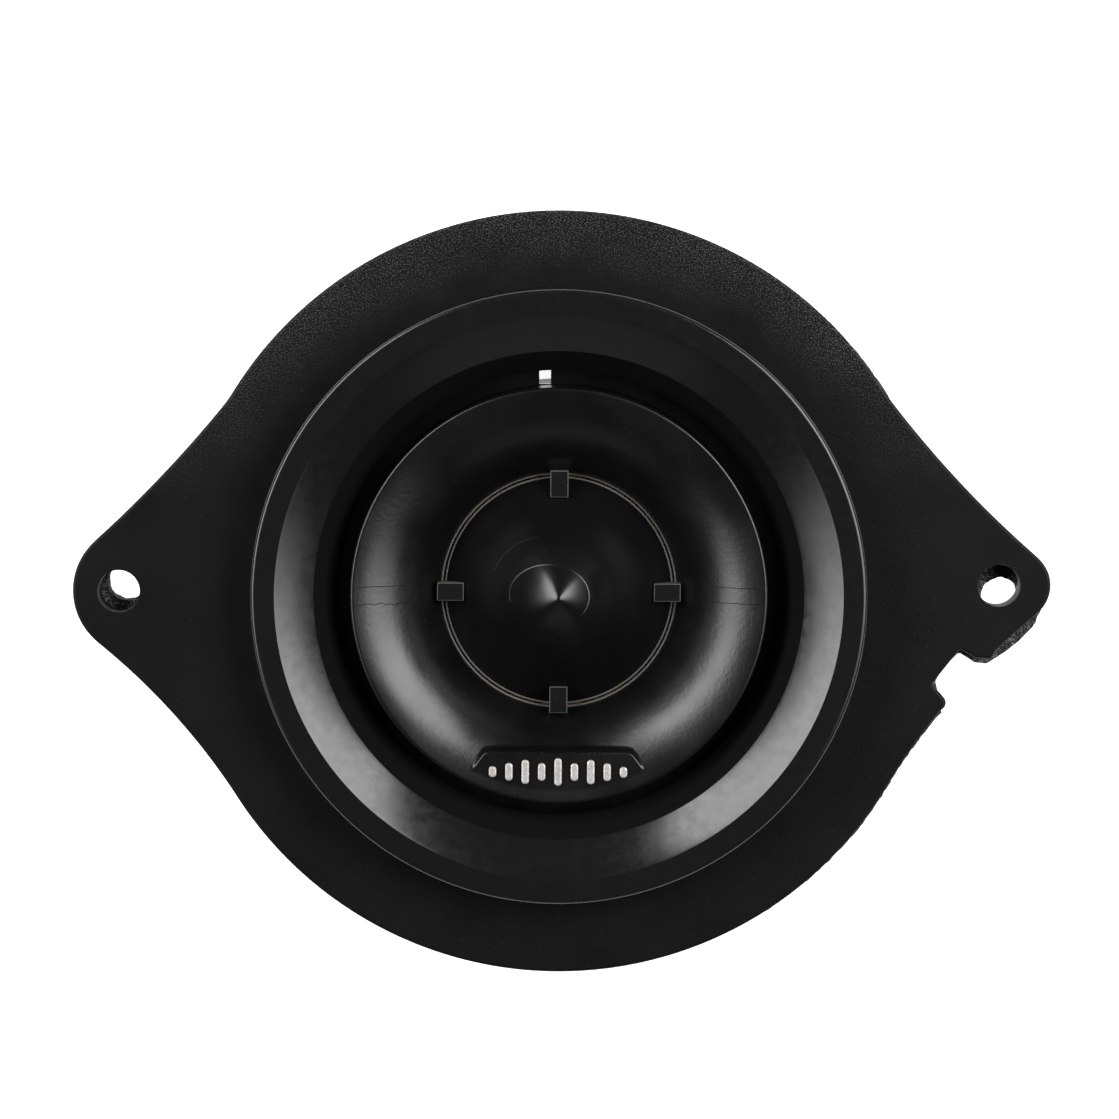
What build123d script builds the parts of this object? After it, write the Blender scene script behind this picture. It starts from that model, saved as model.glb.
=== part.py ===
from build123d import *
import os
from math import asin, atan2, cos, degrees, radians, sin

# Bullet tweeter on a drop-in dashboard plate, millimetres.
# +Z points out of the horn towards the listener, +Y is the top of the plate.
# The origin is on the speaker's axis, in the plate's front face.

# ---- driving dimensions -------------------------------------------------

CLEAR = 0.05                   # gap between a screw and its pilot hole

# mounting plate
PLATE_R = 45.65
PLATE_T = 4.0
PLATE_BORE_R = 33.0
PLATE_EDGE = 0.35
HOLE_SPACING = 105.0
HOLE_R = 2.52
EAR_RISE = 0.7                 # the ears sit this far above the speaker's axis
# right and left ear differ a little: tip, then corner and middle of the flank from the ears' own axis
EARS = {1: (58.7, (57.2, 3.3), (46.0, 14.4)), -1: (58.0, (55.3, 6.0), (46.3, 14.7))}
FLANK_ANGLE = 31.0             # where the flank leaves the round plate, degrees
OUTLINE_FILLET = 2.0
NOTCH = [(51.4, -8.2), (49.7, -7.95), (47.9, -6.8), (44.5, -11.1), (46.3, -13.5), (52.0, -13.5)]
NOTCH_FILLET = 0.5
NOTCH_INNER_X = (44.0, 50.0)   # the notch corners that are rounded lie in this box
NOTCH_INNER_Y = (-12.0, -6.0)

# foam gasket stuck to the back of the plate
GASKET_T = 3.0
GASKET_BORE_R = 39.0
GASKET_HOLE_R = 3.2

# front collar: outer lip, wide cone, steep inner facet, spigot behind
LIP_R = 36.5
LIP_TOP = 5.4
LIP_FILLET = 0.6
CONE_R = 33.6
FACET_R, FACET_Z = 29.3, 2.4
INNER_LIP_R, INNER_LIP_Z = 26.7, -1.4
INNER_LIP_T = 1.4
COLLAR_WALL = 1.5
SPIGOT_R = 32.8
SPIGOT_BORE_R = 31.3
BOSS_PITCH_R = 29.4
BOSS_R = 2.0
BOSS_TOP = -1.2

# horn body
RIM_R, RIM_Z = 24.8, 2.7
RIM_FILLET = 0.4
SLOT_R, SLOT_Z = 14.1, -5.2
RIM_SLOPE = 10.0               # slope of the flare at the rim, degrees
SLOT_SLOPE = 62.8              # slope of the flare at the throat slot, degrees
SKIRT_IN_R = 23.0
MOTOR_BOSS_R = 2.3
FLARE_WALL = 2.0
FLANGE_R = 31.0
FLANGE_TOP = -6.5
HORN_BACK = -9.5
CHAMBER_R = 15.0               # throat wall where it meets the diaphragm
THROAT_WALL_R = 16.6
SIGHT_NOTCH_W = 1.4            # keying notch in the flange
SIGHT_NOTCH_X = -1.5
SIGHT_NOTCH_R = 27.6

# badge pad at the foot of the flare, and its raised bars
PAD_TOP_Y = -18.5
PAD_HALF_W = 9.0
PAD_FOOT = (10.9, -21.7)
PAD_REACH_R = 24.0
PAD_Z = 2.35
PAD_DEPTH = 2.6
PAD_FILLET = 1.0
BAR_HEIGHTS = [1.3, 2.1, 2.9, 2.1, 3.3, 2.1, 2.9, 2.1, 1.3]
BAR_W = 0.9
BAR_PITCH = 1.95
BAR_PROUD = 0.35
BAR_Y = -21.0

# bullet phase plug and its four tabs
PLUG_R = 13.6
TIP_Z = 5.7
TIP_SLOPE = 25.0
KNEE_R = 4.5                   # the bullet's tight arc near the tip ends here
KNEE_SLOPE = 39.6
TIP_FLAT_R = 0.15
PLUG_FOOT_R, PLUG_FOOT_Z = 13.1, -9.0
PLUG_HOLLOW_Z = -5.8
TAB_W = 2.17
TAB_IN, TAB_OUT = 11.4, 14.6
TAB_TOP, TAB_FOOT = -2.6, -6.7

# diaphragm: dome, roll surround, former and winding
DOME_R = 12.5
DOME_RISE = 3.3
FILM = 0.12
DOME_COLLAR_R = 13.5
ROLL_R = 14.9
ROLL_RISE = 0.6
SEAL_T = 0.4
RING_T = 1.2
RING_R = 23.0
RING_BORE_R = 15.2
FORMER_R = 12.6
FORMER_WALL = 0.12
FORMER_H = 4.3
COIL_WALL = 0.3
COIL_H = 3.0

# motor
TOP_PLATE_T = 3.0
TOP_PLATE_R = 23.2
GAP_R = 13.4
POLE_R = 12.3
MAGNET_R = 19.0
MAGNET_BORE_R = 14.8
MAGNET_T = 8.0
BACK_PLATE_R = 20.0
BACK_PLATE_T = 3.0
FELT_R = 9.5
FELT_T = 1.2
EDGE_BREAK = 0.3

# rear cover and terminal block
COVER_R = 24.6
COVER_IN_R = 23.4
COVER_BASE = 1.8
COVER_EDGE = 1.0
POD_W = 20.0
POD_Y = -27.0
POD_TOP, POD_FOOT = -12.5, -23.0
WINDOW_W, WINDOW_H = 11.0, 6.0
BOARD_T = 1.2
BOARD_H = 9.5
TERMINAL_Z = -17.75
TERMINAL_X = 3.6
BLADE_T = 0.8
BLADE_L = 8.0
BLADE_Z = -16.75               # underside of both blades
BLADE_WIDTHS = {"terminal_positive": 4.75, "terminal_negative": 2.8}
BLADE_TIP = 0.7
TERMINAL_FOOT_H = 5.0
RIVET_R = 0.9
RIVET_HEAD_R = 1.3
RIVET_HEAD_T = 0.6
RIVET_DROP = 1.4               # rivet below the blade, down the terminal's foot
LEAD_R = 0.45
LEAD_Y = -22.15
LEAD_TOP = -11.0
LEAD_BEND = 1.5
WIRE_NOTCH_W = 9.6
WIRE_NOTCH_Y = -21.2           # floor of the notch that lets the leads past
WIRE_NOTCH_D = 3.0

# fasteners: radius of the shank, radius and height of the head, length
COLLAR_SCREW = (1.05, 1.95, 1.3, 7.5)
HORN_SCREW = (1.05, 1.9, 1.4, 7.0)
MOTOR_SCREW = (1.0, 1.8, 1.3, 10.0)
BOARD_SCREW = (0.8, 1.4, 0.9, 3.6)
COLLAR_SCREW_R = 35.0
MOTOR_SCREW_R = 21.15
BOARD_SCREW_X = 8.0
BOARD_PILOT_DEPTH = 3.4
COVER_SCREW_R = 15.5
COVER_SCREW_SHANK_R = 1.25
COVER_SCREW_HEAD_R = 2.5
COVER_SCREW_L = 4.4
DRIVE_R = 0.7                  # socket in each screw head
DRIVE_DEPTH = 0.6

# ---- heights that follow from the stack ---------------------------------

PLATE_BACK = -PLATE_T
SEAL_BACK = HORN_BACK - SEAL_T
FILM_BACK = SEAL_BACK - FILM
COLLAR_BACK = FILM_BACK - FILM
RING_BACK = FILM_BACK - RING_T
TOP_PLATE_BACK = RING_BACK - TOP_PLATE_T
MAGNET_BACK = TOP_PLATE_BACK - MAGNET_T
MOTOR_BACK = MAGNET_BACK - BACK_PLATE_T
COVER_BACK = MOTOR_BACK - COVER_BASE
BOARD_FACE = POD_Y - BOARD_T
GAP_MID = (RING_BACK + TOP_PLATE_BACK) / 2

os.makedirs("parts", exist_ok=True)


def write(piece, name):
    """Label a finished sub-part and write its STEP file."""
    piece.part.label = name
    export_step(piece.part, f"parts/{name}.step")


def at(z):
    """Plane parallel to the plate at height z."""
    return Plane.XY.offset(z)


def flare_point(r):
    """Point of the horn's flare at radius r, on one arc from slot to rim."""
    start, end = sin(radians(SLOT_SLOPE)), sin(radians(RIM_SLOPE))
    arc_r = (RIM_R - SLOT_R) / (start - end)
    slope = asin(start - (r - SLOT_R) / arc_r)
    return (r, RIM_Z - arc_r * (cos(radians(RIM_SLOPE)) - cos(slope)))


def arc_point(start, slope, end_slope, r, r_end):
    """Point at radius r of a falling arc whose slopes are given at start and at r_end, in degrees."""
    arc_r = (r_end - start[0]) / (sin(radians(end_slope)) - sin(radians(slope)))
    here = asin(sin(radians(slope)) + (r - start[0]) / arc_r)
    return (r, start[1] - arc_r * (cos(radians(slope)) - cos(here)))


def dome_arc(foot_r, foot_z, rise):
    """Arc of a spherical cap, from its foot to the axis, for the current line."""
    sphere_r = (foot_r ** 2 + rise ** 2) / (2 * rise)
    foot_angle = degrees(asin((sphere_r - rise) / sphere_r))
    return CenterArc((0, foot_z + rise - sphere_r), sphere_r, foot_angle, 90 - foot_angle)


def plate_outline():
    """Round plate with two pointed ears, drawn in the current sketch."""
    a = radians(FLANK_ANGLE)
    x, y = PLATE_R * cos(a), PLATE_R * sin(a)
    with BuildLine() as outline:
        ThreePointArc((x, y), (0, PLATE_R), (-x, y))
        ThreePointArc((x, -y), (0, -PLATE_R), (-x, -y))
        for s, (tip_x, (corner_x, corner_y), (mid_x, mid_y)) in EARS.items():
            top, foot = EAR_RISE + corner_y, EAR_RISE - corner_y
            ThreePointArc((s * x, y), (s * mid_x, EAR_RISE + mid_y), (s * corner_x, top))
            ThreePointArc((s * corner_x, top), (s * tip_x, EAR_RISE), (s * corner_x, foot))
            ThreePointArc((s * corner_x, foot), (s * mid_x, EAR_RISE - mid_y), (s * x, -y))
    face = make_face(outline.edges())
    fillet(face.vertices().filter_by_position(Axis.X, -PLATE_R, PLATE_R), OUTLINE_FILLET)


def cut_notch(z_low, height):
    """Clip notch in the lower edge of the right ear."""
    with BuildSketch(at(z_low)) as notch:
        Polygon(*NOTCH, align=None)
    extrude(notch.sketch, amount=height, mode=Mode.SUBTRACT)


def add_ring(r_out, r_in, z_low, z_high):
    """Flat ring between two heights, added to the current part."""
    with BuildSketch(at(z_low)) as ring:
        Circle(r_out)
        Circle(r_in, mode=Mode.SUBTRACT)
    extrude(ring.sketch, amount=z_high - z_low)


def revolve_outline(*points):
    """Solid of revolution of a straight-sided outline of (radius, height) points."""
    with BuildSketch(Plane.XZ) as section:
        Polygon(*points, align=None)
    revolve(section.sketch, axis=Axis.Z)


def pan_screw(size, seat):
    """Pan-head screw along the plane's normal, its head behind the plane seat."""
    shank_r, head_r, head_h, length = size
    with BuildSketch(seat) as shank:
        Circle(shank_r)
    extrude(shank.sketch, amount=length)
    with BuildSketch(seat.offset(-head_h)) as head:
        Circle(head_r)
    extrude(head.sketch, amount=head_h)
    with BuildSketch(seat.offset(-head_h)) as socket:
        RegularPolygon(DRIVE_R, 6)
    extrude(socket.sketch, amount=DRIVE_DEPTH, mode=Mode.SUBTRACT)


def screw_ring(size, seat_z, pitch_r, count, start_angle):
    """Ring of identical pan-head screws, each its own solid."""
    for k in range(count):
        a = radians(start_angle + 360 * k / count)
        seat = Plane(origin=(pitch_r * cos(a), pitch_r * sin(a), seat_z))
        pan_screw(size, seat)


# ---- mounting plate and foam gasket -------------------------------------

with BuildPart() as mounting_plate:
    with BuildSketch(at(PLATE_BACK)):
        plate_outline()
        Circle(PLATE_BORE_R, mode=Mode.SUBTRACT)
    extrude(amount=PLATE_T)
    fillet(mounting_plate.faces().sort_by(Axis.Z)[-1].outer_wire().edges(), PLATE_EDGE)
    cut_notch(PLATE_BACK, PLATE_T)
    notch_corners = mounting_plate.edges().filter_by(Axis.Z).filter_by_position(Axis.X, *NOTCH_INNER_X)
    fillet(notch_corners.filter_by_position(Axis.Y, *NOTCH_INNER_Y), NOTCH_FILLET)
    with BuildSketch(at(PLATE_BACK)):
        with Locations((0, EAR_RISE)):
            with GridLocations(HOLE_SPACING, 1, 2, 1):
                Circle(HOLE_R)
        with PolarLocations(COLLAR_SCREW_R, 4):
            Circle(COLLAR_SCREW[0] + CLEAR)
    extrude(amount=PLATE_T, mode=Mode.SUBTRACT)
write(mounting_plate, "mounting_plate")

with BuildPart() as plate_gasket:
    with BuildSketch(at(PLATE_BACK - GASKET_T)):
        plate_outline()
        Circle(GASKET_BORE_R, mode=Mode.SUBTRACT)
        with Locations((0, EAR_RISE)):
            with GridLocations(HOLE_SPACING, 1, 2, 1):
                Circle(GASKET_HOLE_R, mode=Mode.SUBTRACT)
    extrude(amount=GASKET_T)
    cut_notch(PLATE_BACK - GASKET_T, GASKET_T)
write(plate_gasket, "plate_gasket")

# ---- front collar -------------------------------------------------------

with BuildPart() as front_collar:
    under_lip = INNER_LIP_Z - INNER_LIP_T
    revolve_outline((SPIGOT_R, 0), (LIP_R, 0), (LIP_R, LIP_TOP), (CONE_R, LIP_TOP),
                    (FACET_R, FACET_Z), (INNER_LIP_R, INNER_LIP_Z), (INNER_LIP_R, under_lip),
                    (INNER_LIP_R + COLLAR_WALL, under_lip),
                    (FACET_R + COLLAR_WALL, FACET_Z - 2 * COLLAR_WALL),
                    (SPIGOT_BORE_R, 0), (SPIGOT_BORE_R, HORN_BACK), (SPIGOT_R, HORN_BACK))
    rims = front_collar.edges().filter_by(GeomType.CIRCLE).group_by(Axis.Z)[-1]
    fillet(rims.sort_by(SortBy.RADIUS)[-1], LIP_FILLET)
    with BuildSketch(at(FLANGE_TOP)):
        with PolarLocations(BOSS_PITCH_R, 4, start_angle=45):
            Circle(BOSS_R)
    extrude(amount=BOSS_TOP - FLANGE_TOP)
    with BuildSketch(at(FLANGE_TOP)):
        with PolarLocations(BOSS_PITCH_R, 4, start_angle=45):
            Circle(HORN_SCREW[0] + CLEAR)
    extrude(amount=HORN_SCREW[3] - (FLANGE_TOP - HORN_BACK) + CLEAR, mode=Mode.SUBTRACT)
    with BuildSketch(at(0)):
        with PolarLocations(COLLAR_SCREW_R, 4):
            Circle(COLLAR_SCREW[0] + CLEAR)
    extrude(amount=COLLAR_SCREW[3] - PLATE_T + CLEAR, mode=Mode.SUBTRACT)
write(front_collar, "front_collar")

with BuildPart() as collar_screws:
    screw_ring(COLLAR_SCREW, PLATE_BACK, COLLAR_SCREW_R, 4, 0)
write(collar_screws, "collar_screws")

# ---- horn body with its badge pad ---------------------------------------

with BuildPart() as horn_body:
    slot_edge = flare_point(SLOT_R)
    flare_mid = flare_point((SLOT_R + RIM_R) / 2)
    rim_edge = (RIM_R, RIM_Z)
    under_mid = flare_point((THROAT_WALL_R + SKIRT_IN_R) / 2)
    under_rim = flare_point(SKIRT_IN_R)
    under_throat = flare_point(THROAT_WALL_R)
    with BuildSketch(Plane.XZ):
        with BuildLine():
            ThreePointArc(slot_edge, flare_mid, rim_edge)
            Polyline(rim_edge, (RIM_R, FLANGE_TOP), (FLANGE_R, FLANGE_TOP), (FLANGE_R, HORN_BACK),
                     (SKIRT_IN_R, HORN_BACK), (SKIRT_IN_R, under_rim[1] - FLARE_WALL))
            ThreePointArc((SKIRT_IN_R, under_rim[1] - FLARE_WALL),
                          (under_mid[0], under_mid[1] - FLARE_WALL),
                          (THROAT_WALL_R, under_throat[1] - FLARE_WALL))
            Polyline((THROAT_WALL_R, under_throat[1] - FLARE_WALL), (THROAT_WALL_R, HORN_BACK),
                     (CHAMBER_R, HORN_BACK), slot_edge)
        section = make_face()
        fillet(section.vertices().sort_by(Axis.Z)[-1], RIM_FILLET)
    revolve(axis=Axis.Z)
    with BuildSketch(at(PAD_Z - PAD_DEPTH)):
        with BuildLine():
            pad_top = (PAD_HALF_W, PAD_TOP_Y)
            Polyline((-PAD_FOOT[0], PAD_FOOT[1]), (-PAD_HALF_W, PAD_TOP_Y), pad_top, PAD_FOOT)
            ThreePointArc(PAD_FOOT, (0, -PAD_REACH_R), (-PAD_FOOT[0], PAD_FOOT[1]))
        pad = make_face()
        fillet(pad.vertices().group_by(Axis.Y)[-1], PAD_FILLET)
    extrude(amount=PAD_DEPTH)
    with BuildSketch(at(HORN_BACK)):
        with PolarLocations(MOTOR_SCREW_R, 4, start_angle=45):
            Circle(MOTOR_BOSS_R)
    extrude(amount=under_mid[1] - FLARE_WALL - HORN_BACK)
    with BuildSketch(at(HORN_BACK)):
        with PolarLocations(MOTOR_SCREW_R, 4, start_angle=45):
            Circle(MOTOR_SCREW[0] + CLEAR)
    extrude(amount=MOTOR_SCREW[3] - (HORN_BACK - TOP_PLATE_BACK) + CLEAR, mode=Mode.SUBTRACT)
    with BuildSketch(at(HORN_BACK)):
        with PolarLocations(BOSS_PITCH_R, 4, start_angle=45):
            Circle(HORN_SCREW[0] + CLEAR)
        with Locations((SIGHT_NOTCH_X, (RIM_R + SIGHT_NOTCH_R) / 2)):
            Rectangle(SIGHT_NOTCH_W, SIGHT_NOTCH_R - RIM_R)
    extrude(amount=FLANGE_TOP - HORN_BACK, mode=Mode.SUBTRACT)
    with BuildSketch(at(TAB_FOOT)):
        Rectangle(2 * TAB_OUT, TAB_W)
        Rectangle(TAB_W, 2 * TAB_OUT)
    extrude(amount=TAB_TOP - TAB_FOOT, mode=Mode.SUBTRACT)
write(horn_body, "horn_body")

with BuildPart() as badge_bars:
    for k, height in enumerate(BAR_HEIGHTS):
        x = (k - (len(BAR_HEIGHTS) - 1) / 2) * BAR_PITCH
        with BuildSketch(at(PAD_Z)):
            with Locations((x, BAR_Y)):
                RectangleRounded(BAR_W, height, BAR_W / 2 - CLEAR)
        extrude(amount=BAR_PROUD)
write(badge_bars, "badge_bars")

with BuildPart() as horn_screws:
    screw_ring(HORN_SCREW, HORN_BACK, BOSS_PITCH_R, 4, 45)
write(horn_screws, "horn_screws")

# ---- phase plug ---------------------------------------------------------

with BuildPart() as phase_plug:
    hollow_r = PLUG_FOOT_R - FILM
    apex = (0, TIP_Z)
    tip = arc_point(apex, TIP_SLOPE, KNEE_SLOPE, TIP_FLAT_R, KNEE_R)
    tip_arc = arc_point(apex, TIP_SLOPE, KNEE_SLOPE, KNEE_R / 2, KNEE_R)
    knee = arc_point(apex, TIP_SLOPE, KNEE_SLOPE, KNEE_R, KNEE_R)
    foot_slope = 2 * degrees(atan2(knee[1] - SLOT_Z, PLUG_R - KNEE_R)) - KNEE_SLOPE
    side_arc = arc_point(knee, KNEE_SLOPE, foot_slope, (KNEE_R + PLUG_R) / 2, PLUG_R)
    with BuildSketch(Plane.XZ):
        with BuildLine():
            ThreePointArc(tip, tip_arc, knee)
            ThreePointArc(knee, side_arc, (PLUG_R, SLOT_Z))
            Polyline((PLUG_R, SLOT_Z), (PLUG_FOOT_R, PLUG_FOOT_Z), (hollow_r, PLUG_FOOT_Z))
            dome_arc(hollow_r, PLUG_FOOT_Z, PLUG_HOLLOW_Z - PLUG_FOOT_Z)
            Polyline((0, PLUG_HOLLOW_Z), (0, tip[1]), tip)
        make_face()
    revolve(axis=Axis.Z)
    with BuildSketch(at(TAB_FOOT)):
        with PolarLocations((TAB_IN + TAB_OUT) / 2, 4):
            Rectangle(TAB_OUT - TAB_IN, TAB_W)
    extrude(amount=TAB_TOP - TAB_FOOT)
write(phase_plug, "phase_plug")

# ---- diaphragm ----------------------------------------------------------

with BuildPart() as diaphragm_dome:
    with BuildSketch(Plane.XZ):
        with BuildLine():
            dome_arc(DOME_R, FILM_BACK, DOME_RISE)
            Line((0, FILM_BACK + DOME_RISE), (0, COLLAR_BACK + DOME_RISE))
            dome_arc(DOME_R, COLLAR_BACK, DOME_RISE)
            Polyline((DOME_R, COLLAR_BACK), (DOME_COLLAR_R, COLLAR_BACK), (DOME_COLLAR_R, FILM_BACK),
                     (DOME_R, FILM_BACK))
        make_face()
    revolve(axis=Axis.Z)
write(diaphragm_dome, "diaphragm_dome")

with BuildPart() as surround:
    roll_mid = (DOME_COLLAR_R + ROLL_R) / 2
    inner_r = DOME_R + FILM
    with BuildSketch(Plane.XZ):
        with BuildLine():
            Line((inner_r, FILM_BACK), (DOME_COLLAR_R, FILM_BACK))
            ThreePointArc((DOME_COLLAR_R, FILM_BACK), (roll_mid, FILM_BACK + ROLL_RISE),
                          (ROLL_R, FILM_BACK))
            Polyline((ROLL_R, FILM_BACK), (RING_R, FILM_BACK), (RING_R, SEAL_BACK),
                     (ROLL_R + FILM, SEAL_BACK))
            ThreePointArc((ROLL_R + FILM, SEAL_BACK), (roll_mid, SEAL_BACK + ROLL_RISE),
                          (DOME_COLLAR_R - FILM, SEAL_BACK))
            Polyline((DOME_COLLAR_R - FILM, SEAL_BACK), (inner_r, SEAL_BACK), (inner_r, FILM_BACK))
        make_face()
    revolve(axis=Axis.Z)
    with BuildSketch(at(FILM_BACK)):
        with PolarLocations(MOTOR_SCREW_R, 4, start_angle=45):
            Circle(MOTOR_SCREW[0] + CLEAR)
    extrude(amount=FILM, mode=Mode.SUBTRACT)
write(surround, "surround")

with BuildPart() as horn_seal:
    add_ring(RING_R, CHAMBER_R + FILM, SEAL_BACK, HORN_BACK)
    with BuildSketch(at(SEAL_BACK)):
        with PolarLocations(MOTOR_SCREW_R, 4, start_angle=45):
            Circle(MOTOR_SCREW[0] + CLEAR)
    extrude(amount=SEAL_T, mode=Mode.SUBTRACT)
write(horn_seal, "horn_seal")

with BuildPart() as diaphragm_ring:
    add_ring(RING_R, RING_BORE_R, RING_BACK, FILM_BACK)
    with BuildSketch(at(RING_BACK)):
        with PolarLocations(MOTOR_SCREW_R, 4, start_angle=45):
            Circle(MOTOR_SCREW[0] + CLEAR)
        with Locations((0, WIRE_NOTCH_Y - WIRE_NOTCH_D / 2)):
            Rectangle(WIRE_NOTCH_W, WIRE_NOTCH_D)
    extrude(amount=RING_T, mode=Mode.SUBTRACT)
write(diaphragm_ring, "diaphragm_ring")

with BuildPart() as voice_coil_former:
    add_ring(FORMER_R + FORMER_WALL, FORMER_R, COLLAR_BACK - FORMER_H, COLLAR_BACK)
write(voice_coil_former, "voice_coil_former")

with BuildPart() as voice_coil_winding:
    coil_in = FORMER_R + FORMER_WALL
    add_ring(coil_in + COIL_WALL, coil_in, GAP_MID - COIL_H / 2, GAP_MID + COIL_H / 2)
write(voice_coil_winding, "voice_coil_winding")

# ---- motor --------------------------------------------------------------

with BuildPart() as top_plate:
    add_ring(TOP_PLATE_R, GAP_R, TOP_PLATE_BACK, RING_BACK)
    chamfer(top_plate.edges().filter_by(GeomType.CIRCLE).group_by(SortBy.RADIUS)[-1], EDGE_BREAK)
    with BuildSketch(at(TOP_PLATE_BACK)):
        with PolarLocations(MOTOR_SCREW_R, 4, start_angle=45):
            Circle(MOTOR_SCREW[0] + CLEAR)
        with Locations((0, WIRE_NOTCH_Y - WIRE_NOTCH_D / 2)):
            Rectangle(WIRE_NOTCH_W, WIRE_NOTCH_D)
    extrude(amount=TOP_PLATE_T, mode=Mode.SUBTRACT)
write(top_plate, "top_plate")

with BuildPart() as motor_magnet:
    add_ring(MAGNET_R, MAGNET_BORE_R, MAGNET_BACK, TOP_PLATE_BACK)
    chamfer(motor_magnet.edges().filter_by(GeomType.CIRCLE).group_by(SortBy.RADIUS)[-1], EDGE_BREAK)
write(motor_magnet, "motor_magnet")

with BuildPart() as back_plate:
    with BuildSketch(at(MOTOR_BACK)):
        Circle(BACK_PLATE_R)
    extrude(amount=BACK_PLATE_T)
    with BuildSketch(at(MAGNET_BACK)):
        Circle(POLE_R)
    extrude(amount=RING_BACK - MAGNET_BACK)
    chamfer(back_plate.edges().filter_by(GeomType.CIRCLE).group_by(SortBy.RADIUS)[-1], EDGE_BREAK)
    with BuildSketch(at(MOTOR_BACK)):
        with PolarLocations(COVER_SCREW_R, 3, start_angle=90):
            Circle(COVER_SCREW_SHANK_R + CLEAR)
    extrude(amount=COVER_SCREW_L - COVER_BASE + CLEAR, mode=Mode.SUBTRACT)
write(back_plate, "back_plate")

with BuildPart() as pole_felt:
    with BuildSketch(at(RING_BACK)):
        Circle(FELT_R)
    extrude(amount=FELT_T)
write(pole_felt, "pole_felt")

with BuildPart() as motor_screws:
    screw_ring(MOTOR_SCREW, TOP_PLATE_BACK, MOTOR_SCREW_R, 4, 45)
write(motor_screws, "motor_screws")

# ---- rear cover ---------------------------------------------------------

with BuildPart() as rear_cover:
    with BuildSketch(at(COVER_BACK)):
        Circle(COVER_R)
    extrude(amount=HORN_BACK - COVER_BACK)
    with BuildSketch(at(POD_FOOT)):
        with Locations((0, POD_Y / 2)):
            Rectangle(POD_W, -POD_Y)
    extrude(amount=POD_TOP - POD_FOOT)
    with BuildSketch(at(MOTOR_BACK)):
        Circle(COVER_IN_R)
    extrude(amount=HORN_BACK - MOTOR_BACK, mode=Mode.SUBTRACT)
    with BuildSketch(Plane.XZ.offset(-POD_Y)):
        with Locations((0, TERMINAL_Z)):
            with GridLocations(2 * BOARD_SCREW_X, 1, 2, 1):
                Circle(BOARD_SCREW[0] + CLEAR)
    extrude(amount=-BOARD_PILOT_DEPTH, mode=Mode.SUBTRACT)
    with BuildSketch(Plane.XZ.offset(-POD_Y)):
        with Locations((0, TERMINAL_Z)):
            Rectangle(WINDOW_W, WINDOW_H)
    extrude(amount=POD_Y + BACK_PLATE_R, mode=Mode.SUBTRACT)
    with BuildSketch(at(COVER_BACK)):
        with PolarLocations(COVER_SCREW_R, 3, start_angle=90):
            Circle(COVER_SCREW_SHANK_R + CLEAR)
    extrude(amount=COVER_BASE, mode=Mode.SUBTRACT)
    cone_depth = COVER_SCREW_HEAD_R - COVER_SCREW_SHANK_R
    with Locations(at(COVER_BACK)):
        with PolarLocations(COVER_SCREW_R, 3, start_angle=90):
            Cone(COVER_SCREW_HEAD_R + CLEAR, COVER_SCREW_SHANK_R + CLEAR, cone_depth,
                 align=(Align.CENTER, Align.CENTER, Align.MIN), mode=Mode.SUBTRACT)
    foot_rims = rear_cover.edges().filter_by(GeomType.CIRCLE).group_by(Axis.Z)[0]
    fillet(foot_rims.sort_by(SortBy.RADIUS)[-1], COVER_EDGE)
write(rear_cover, "rear_cover")

with BuildPart() as cover_screws:
    for k in range(3):
        a = radians(90 + 120 * k)
        seat = Plane(origin=(COVER_SCREW_R * cos(a), COVER_SCREW_R * sin(a), COVER_BACK))
        with Locations(seat):
            Cone(COVER_SCREW_HEAD_R, COVER_SCREW_SHANK_R, cone_depth,
                 align=(Align.CENTER, Align.CENTER, Align.MIN))
        with BuildSketch(seat):
            Circle(COVER_SCREW_SHANK_R)
        extrude(amount=COVER_SCREW_L)
        with BuildSketch(seat):
            RegularPolygon(DRIVE_R, 6)
        extrude(amount=DRIVE_DEPTH, mode=Mode.SUBTRACT)
write(cover_screws, "cover_screws")

# ---- terminal block -----------------------------------------------------

with BuildPart() as terminal_board:
    with BuildSketch(Plane.XZ.offset(-POD_Y)):
        with Locations((0, TERMINAL_Z)):
            Rectangle(POD_W, BOARD_H)
            with GridLocations(2 * BOARD_SCREW_X, 1, 2, 1):
                Circle(BOARD_SCREW[0] + CLEAR, mode=Mode.SUBTRACT)
        with Locations((0, TERMINAL_Z - RIVET_DROP)):
            with GridLocations(2 * TERMINAL_X, 1, 2, 1):
                Circle(RIVET_R, mode=Mode.SUBTRACT)
    extrude(amount=BOARD_T)
write(terminal_board, "terminal_board")

for name, width in BLADE_WIDTHS.items():
    x = TERMINAL_X if name == "terminal_positive" else -TERMINAL_X
    foot_z = BLADE_Z + BLADE_T - TERMINAL_FOOT_H / 2
    with BuildPart() as terminal:
        with BuildSketch(Plane.XZ.offset(-BOARD_FACE)):
            with Locations((x, foot_z)):
                Rectangle(width, TERMINAL_FOOT_H)
            with Locations((x, TERMINAL_Z - RIVET_DROP)):
                Circle(RIVET_R, mode=Mode.SUBTRACT)
        extrude(amount=BLADE_T)
        with BuildSketch(at(BLADE_Z)):
            with Locations((x, BOARD_FACE - BLADE_L / 2)):
                blade = Rectangle(width, BLADE_L)
            chamfer(blade.vertices().group_by(Axis.Y)[0], BLADE_TIP)
        extrude(amount=BLADE_T)
    write(terminal, name)

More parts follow.
